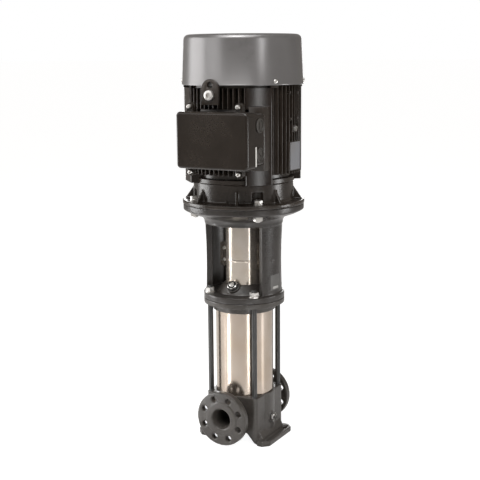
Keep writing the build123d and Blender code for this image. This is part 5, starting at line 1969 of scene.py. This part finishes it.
@dataclass(frozen=True)
class SoftBox:
    """A lamp that faces the pump.

    Its bearing is in degrees to the right of the camera, as the camera looks at the pump. The
    distance is from the shaft, the level is the height of its middle, and its power is in watts.
    """

    name: str
    bearing: float
    distance: float
    level: float
    width: float
    height: float
    power: float


# Their reflections run down the cover, the guard and the sleeve where the photograph shows light
SOFT_BOXES = (
    SoftBox("left_high", bearing=-97.0, distance=2.0, level=1.5, width=1.6, height=1.0, power=13.0),
    SoftBox("left_fade", bearing=-55.0, distance=2.0, level=1.6, width=1.0, height=1.0, power=4.2),
    SoftBox("left_body", bearing=-100.0, distance=2.0, level=0.65, width=1.2, height=0.6, power=15.0),
    SoftBox("right_body", bearing=82.0, distance=2.0, level=0.65, width=0.5, height=0.6, power=9.0),
    SoftBox("key_high", bearing=34.0, distance=1.2, level=1.29, width=0.13, height=0.36, power=0.9),
    SoftBox("key_middle", bearing=29.9, distance=1.2, level=0.8, width=0.024, height=0.6, power=0.22),
    SoftBox("key_low", bearing=34.0, distance=1.2, level=0.35, width=0.13, height=0.3, power=0.75),
    SoftBox("guard_left", bearing=-93.0, distance=0.8, level=0.43, width=0.12, height=0.26, power=0.8),
    SoftBox("sleeve_left", bearing=-61.0, distance=0.5, level=0.15, width=0.075, height=0.28, power=0.5),
    SoftBox("sleeve_edge", bearing=-79.0, distance=0.5, level=0.15, width=0.06, height=0.28, power=0.06),
    SoftBox("sleeve_key", bearing=14.0, distance=0.6, level=0.17, width=0.03, height=0.32, power=0.36),
    SoftBox("sleeve_right", bearing=71.0, distance=0.5, level=0.15, width=0.08, height=0.28, power=0.1),
    SoftBox("front_top", bearing=-15.0, distance=2.6, level=4.6, width=2.0, height=2.0, power=72.0),
    SoftBox("back_box", bearing=178.0, distance=3.5, level=0.85, width=1.6, height=1.1, power=34.0),
    SoftBox("top_box", bearing=-15.0, distance=1.4, level=3.2, width=2.8, height=2.8, power=54.0),
)


@dataclass
class Studio:
    """The pale floor, the soft lamps and the camera of the photograph."""

    camera_at: Point = (1.4325, -2.5494, 1.1607)
    azimuth: float = math.radians(29.33)
    pitch: float = 0.1856
    roll: float = -0.0073
    focal_pixels: float = 982.98
    picture_pixels: float = 480.0
    centre_shift: float = 3.943
    sensor: float = 36.0
    floor_size: float = 400.0
    floor_white: float = 0.9
    floor_glow: float = 1.3
    floor_glow_share: float = 0.72
    room_colour: Point = (0.62, 0.57, 0.52)
    room_strength: float = 0.4
    # The height that overhead lamps look at, and the level above which a lamp counts as overhead
    aim_level: float = 0.62
    overhead_level: float = 2.0

    def build(self) -> None:
        """Build the whole studio."""
        self.floor()
        self.world()
        for box in SOFT_BOXES:
            self.hang(box)
        self.camera()
        bpy.context.scene.view_settings.view_transform = "Standard"

    def camera(self) -> None:
        """Place the camera where the photograph was taken."""
        right = Vector((math.cos(self.azimuth), math.sin(self.azimuth), 0.0))
        level_ahead = Vector((-math.sin(self.azimuth), math.cos(self.azimuth), 0.0))
        ahead = math.cos(self.pitch) * level_ahead - Vector((0.0, 0.0, math.sin(self.pitch)))
        above = right.cross(ahead)
        rolled_right = math.cos(self.roll) * right + math.sin(self.roll) * above
        rolled_above = -math.sin(self.roll) * right + math.cos(self.roll) * above
        data = bpy.data.cameras.new("camera")
        data.sensor_fit = "HORIZONTAL"
        data.sensor_width = self.sensor
        data.lens = self.focal_pixels / self.picture_pixels * self.sensor
        data.shift_x = -self.centre_shift / self.picture_pixels
        data.clip_end = self.floor_size
        eye = bpy.data.objects.new("camera", data)
        axes = Matrix((rolled_right, rolled_above, -ahead)).transposed().to_4x4()
        eye.matrix_world = Matrix.Translation(self.camera_at) @ axes
        bpy.context.scene.collection.objects.link(eye)
        bpy.context.scene.camera = eye

    def floor(self) -> None:
        """Lay a wide pale floor that glows where the camera sees it."""
        Bench.clear()
        bpy.ops.mesh.primitive_plane_add(size=self.floor_size)
        plane = Bench.settle(bpy.context.active_object, "floor")
        made = bpy.data.materials.new("floor_white")
        made.use_nodes = True
        graph = Graph(made.node_tree)
        pale = (self.floor_white, self.floor_white, self.floor_white, 1.0)
        matt = graph.node("ShaderNodeBsdfDiffuse", None, {"Color": pale})
        white = {"Color": (1.0, 1.0, 1.0, 1.0), "Strength": self.floor_glow}
        glow = graph.node("ShaderNodeEmission", None, white)
        graph.close_by_ray("ShaderNodeOutputMaterial", matt, glow, self.floor_glow_share)
        plane.data.materials.append(made)

    def world(self) -> None:
        """Light softly from all round; the backdrop itself is white."""
        scene = bpy.context.scene
        scene.world = bpy.data.worlds.new("studio")
        scene.world.use_nodes = True
        graph = Graph(scene.world.node_tree)
        soft = {"Color": (*self.room_colour, 1.0), "Strength": self.room_strength}
        room = graph.node("ShaderNodeBackground", None, soft)
        white = {"Color": (1.0, 1.0, 1.0, 1.0), "Strength": 1.0}
        backdrop = graph.node("ShaderNodeBackground", None, white)
        graph.close_by_ray("ShaderNodeOutputWorld", room, backdrop, 1.0)

    def hang(self, box: SoftBox) -> None:
        """Hang one soft box: the overhead ones look down at the pump, the others straight ahead.

        Args:
            box: the soft box.
        """
        data = bpy.data.lights.new(box.name, "AREA")
        data.shape = "RECTANGLE"
        data.size = box.width
        data.size_y = box.height
        data.energy = box.power
        turn = -math.pi / 2 + self.azimuth + math.radians(box.bearing)
        at = Vector((box.distance * math.cos(turn), box.distance * math.sin(turn), box.level))
        aim = Vector((0.0, 0.0, self.aim_level)) - at
        if box.level < self.overhead_level:
            aim.z = 0.0
        lamp = bpy.data.objects.new(box.name, data)
        lamp.matrix_world = Matrix.Translation(at) @ aim.to_track_quat("-Z", "Y").to_matrix().to_4x4()
        bpy.context.scene.collection.objects.link(lamp)


def main() -> None:
    """Build the pump's looks, part by part, and then the studio."""
    logging.basicConfig(level=logging.INFO, format="%(name)s %(message)s")
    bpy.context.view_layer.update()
    palette = Palette()
    parts = (
        BasePart,
        SleevePart,
        HeadPart,
        StoolPart,
        GuardPart,
        MotorPart,
        TerminalBoxPart,
        FanCoverPart,
        InnerParts,
    )
    for part in parts:
        part(palette).build()
        log.info("%s is built", part.__name__)
    Studio().build()


if __name__ == "__main__":
    main()
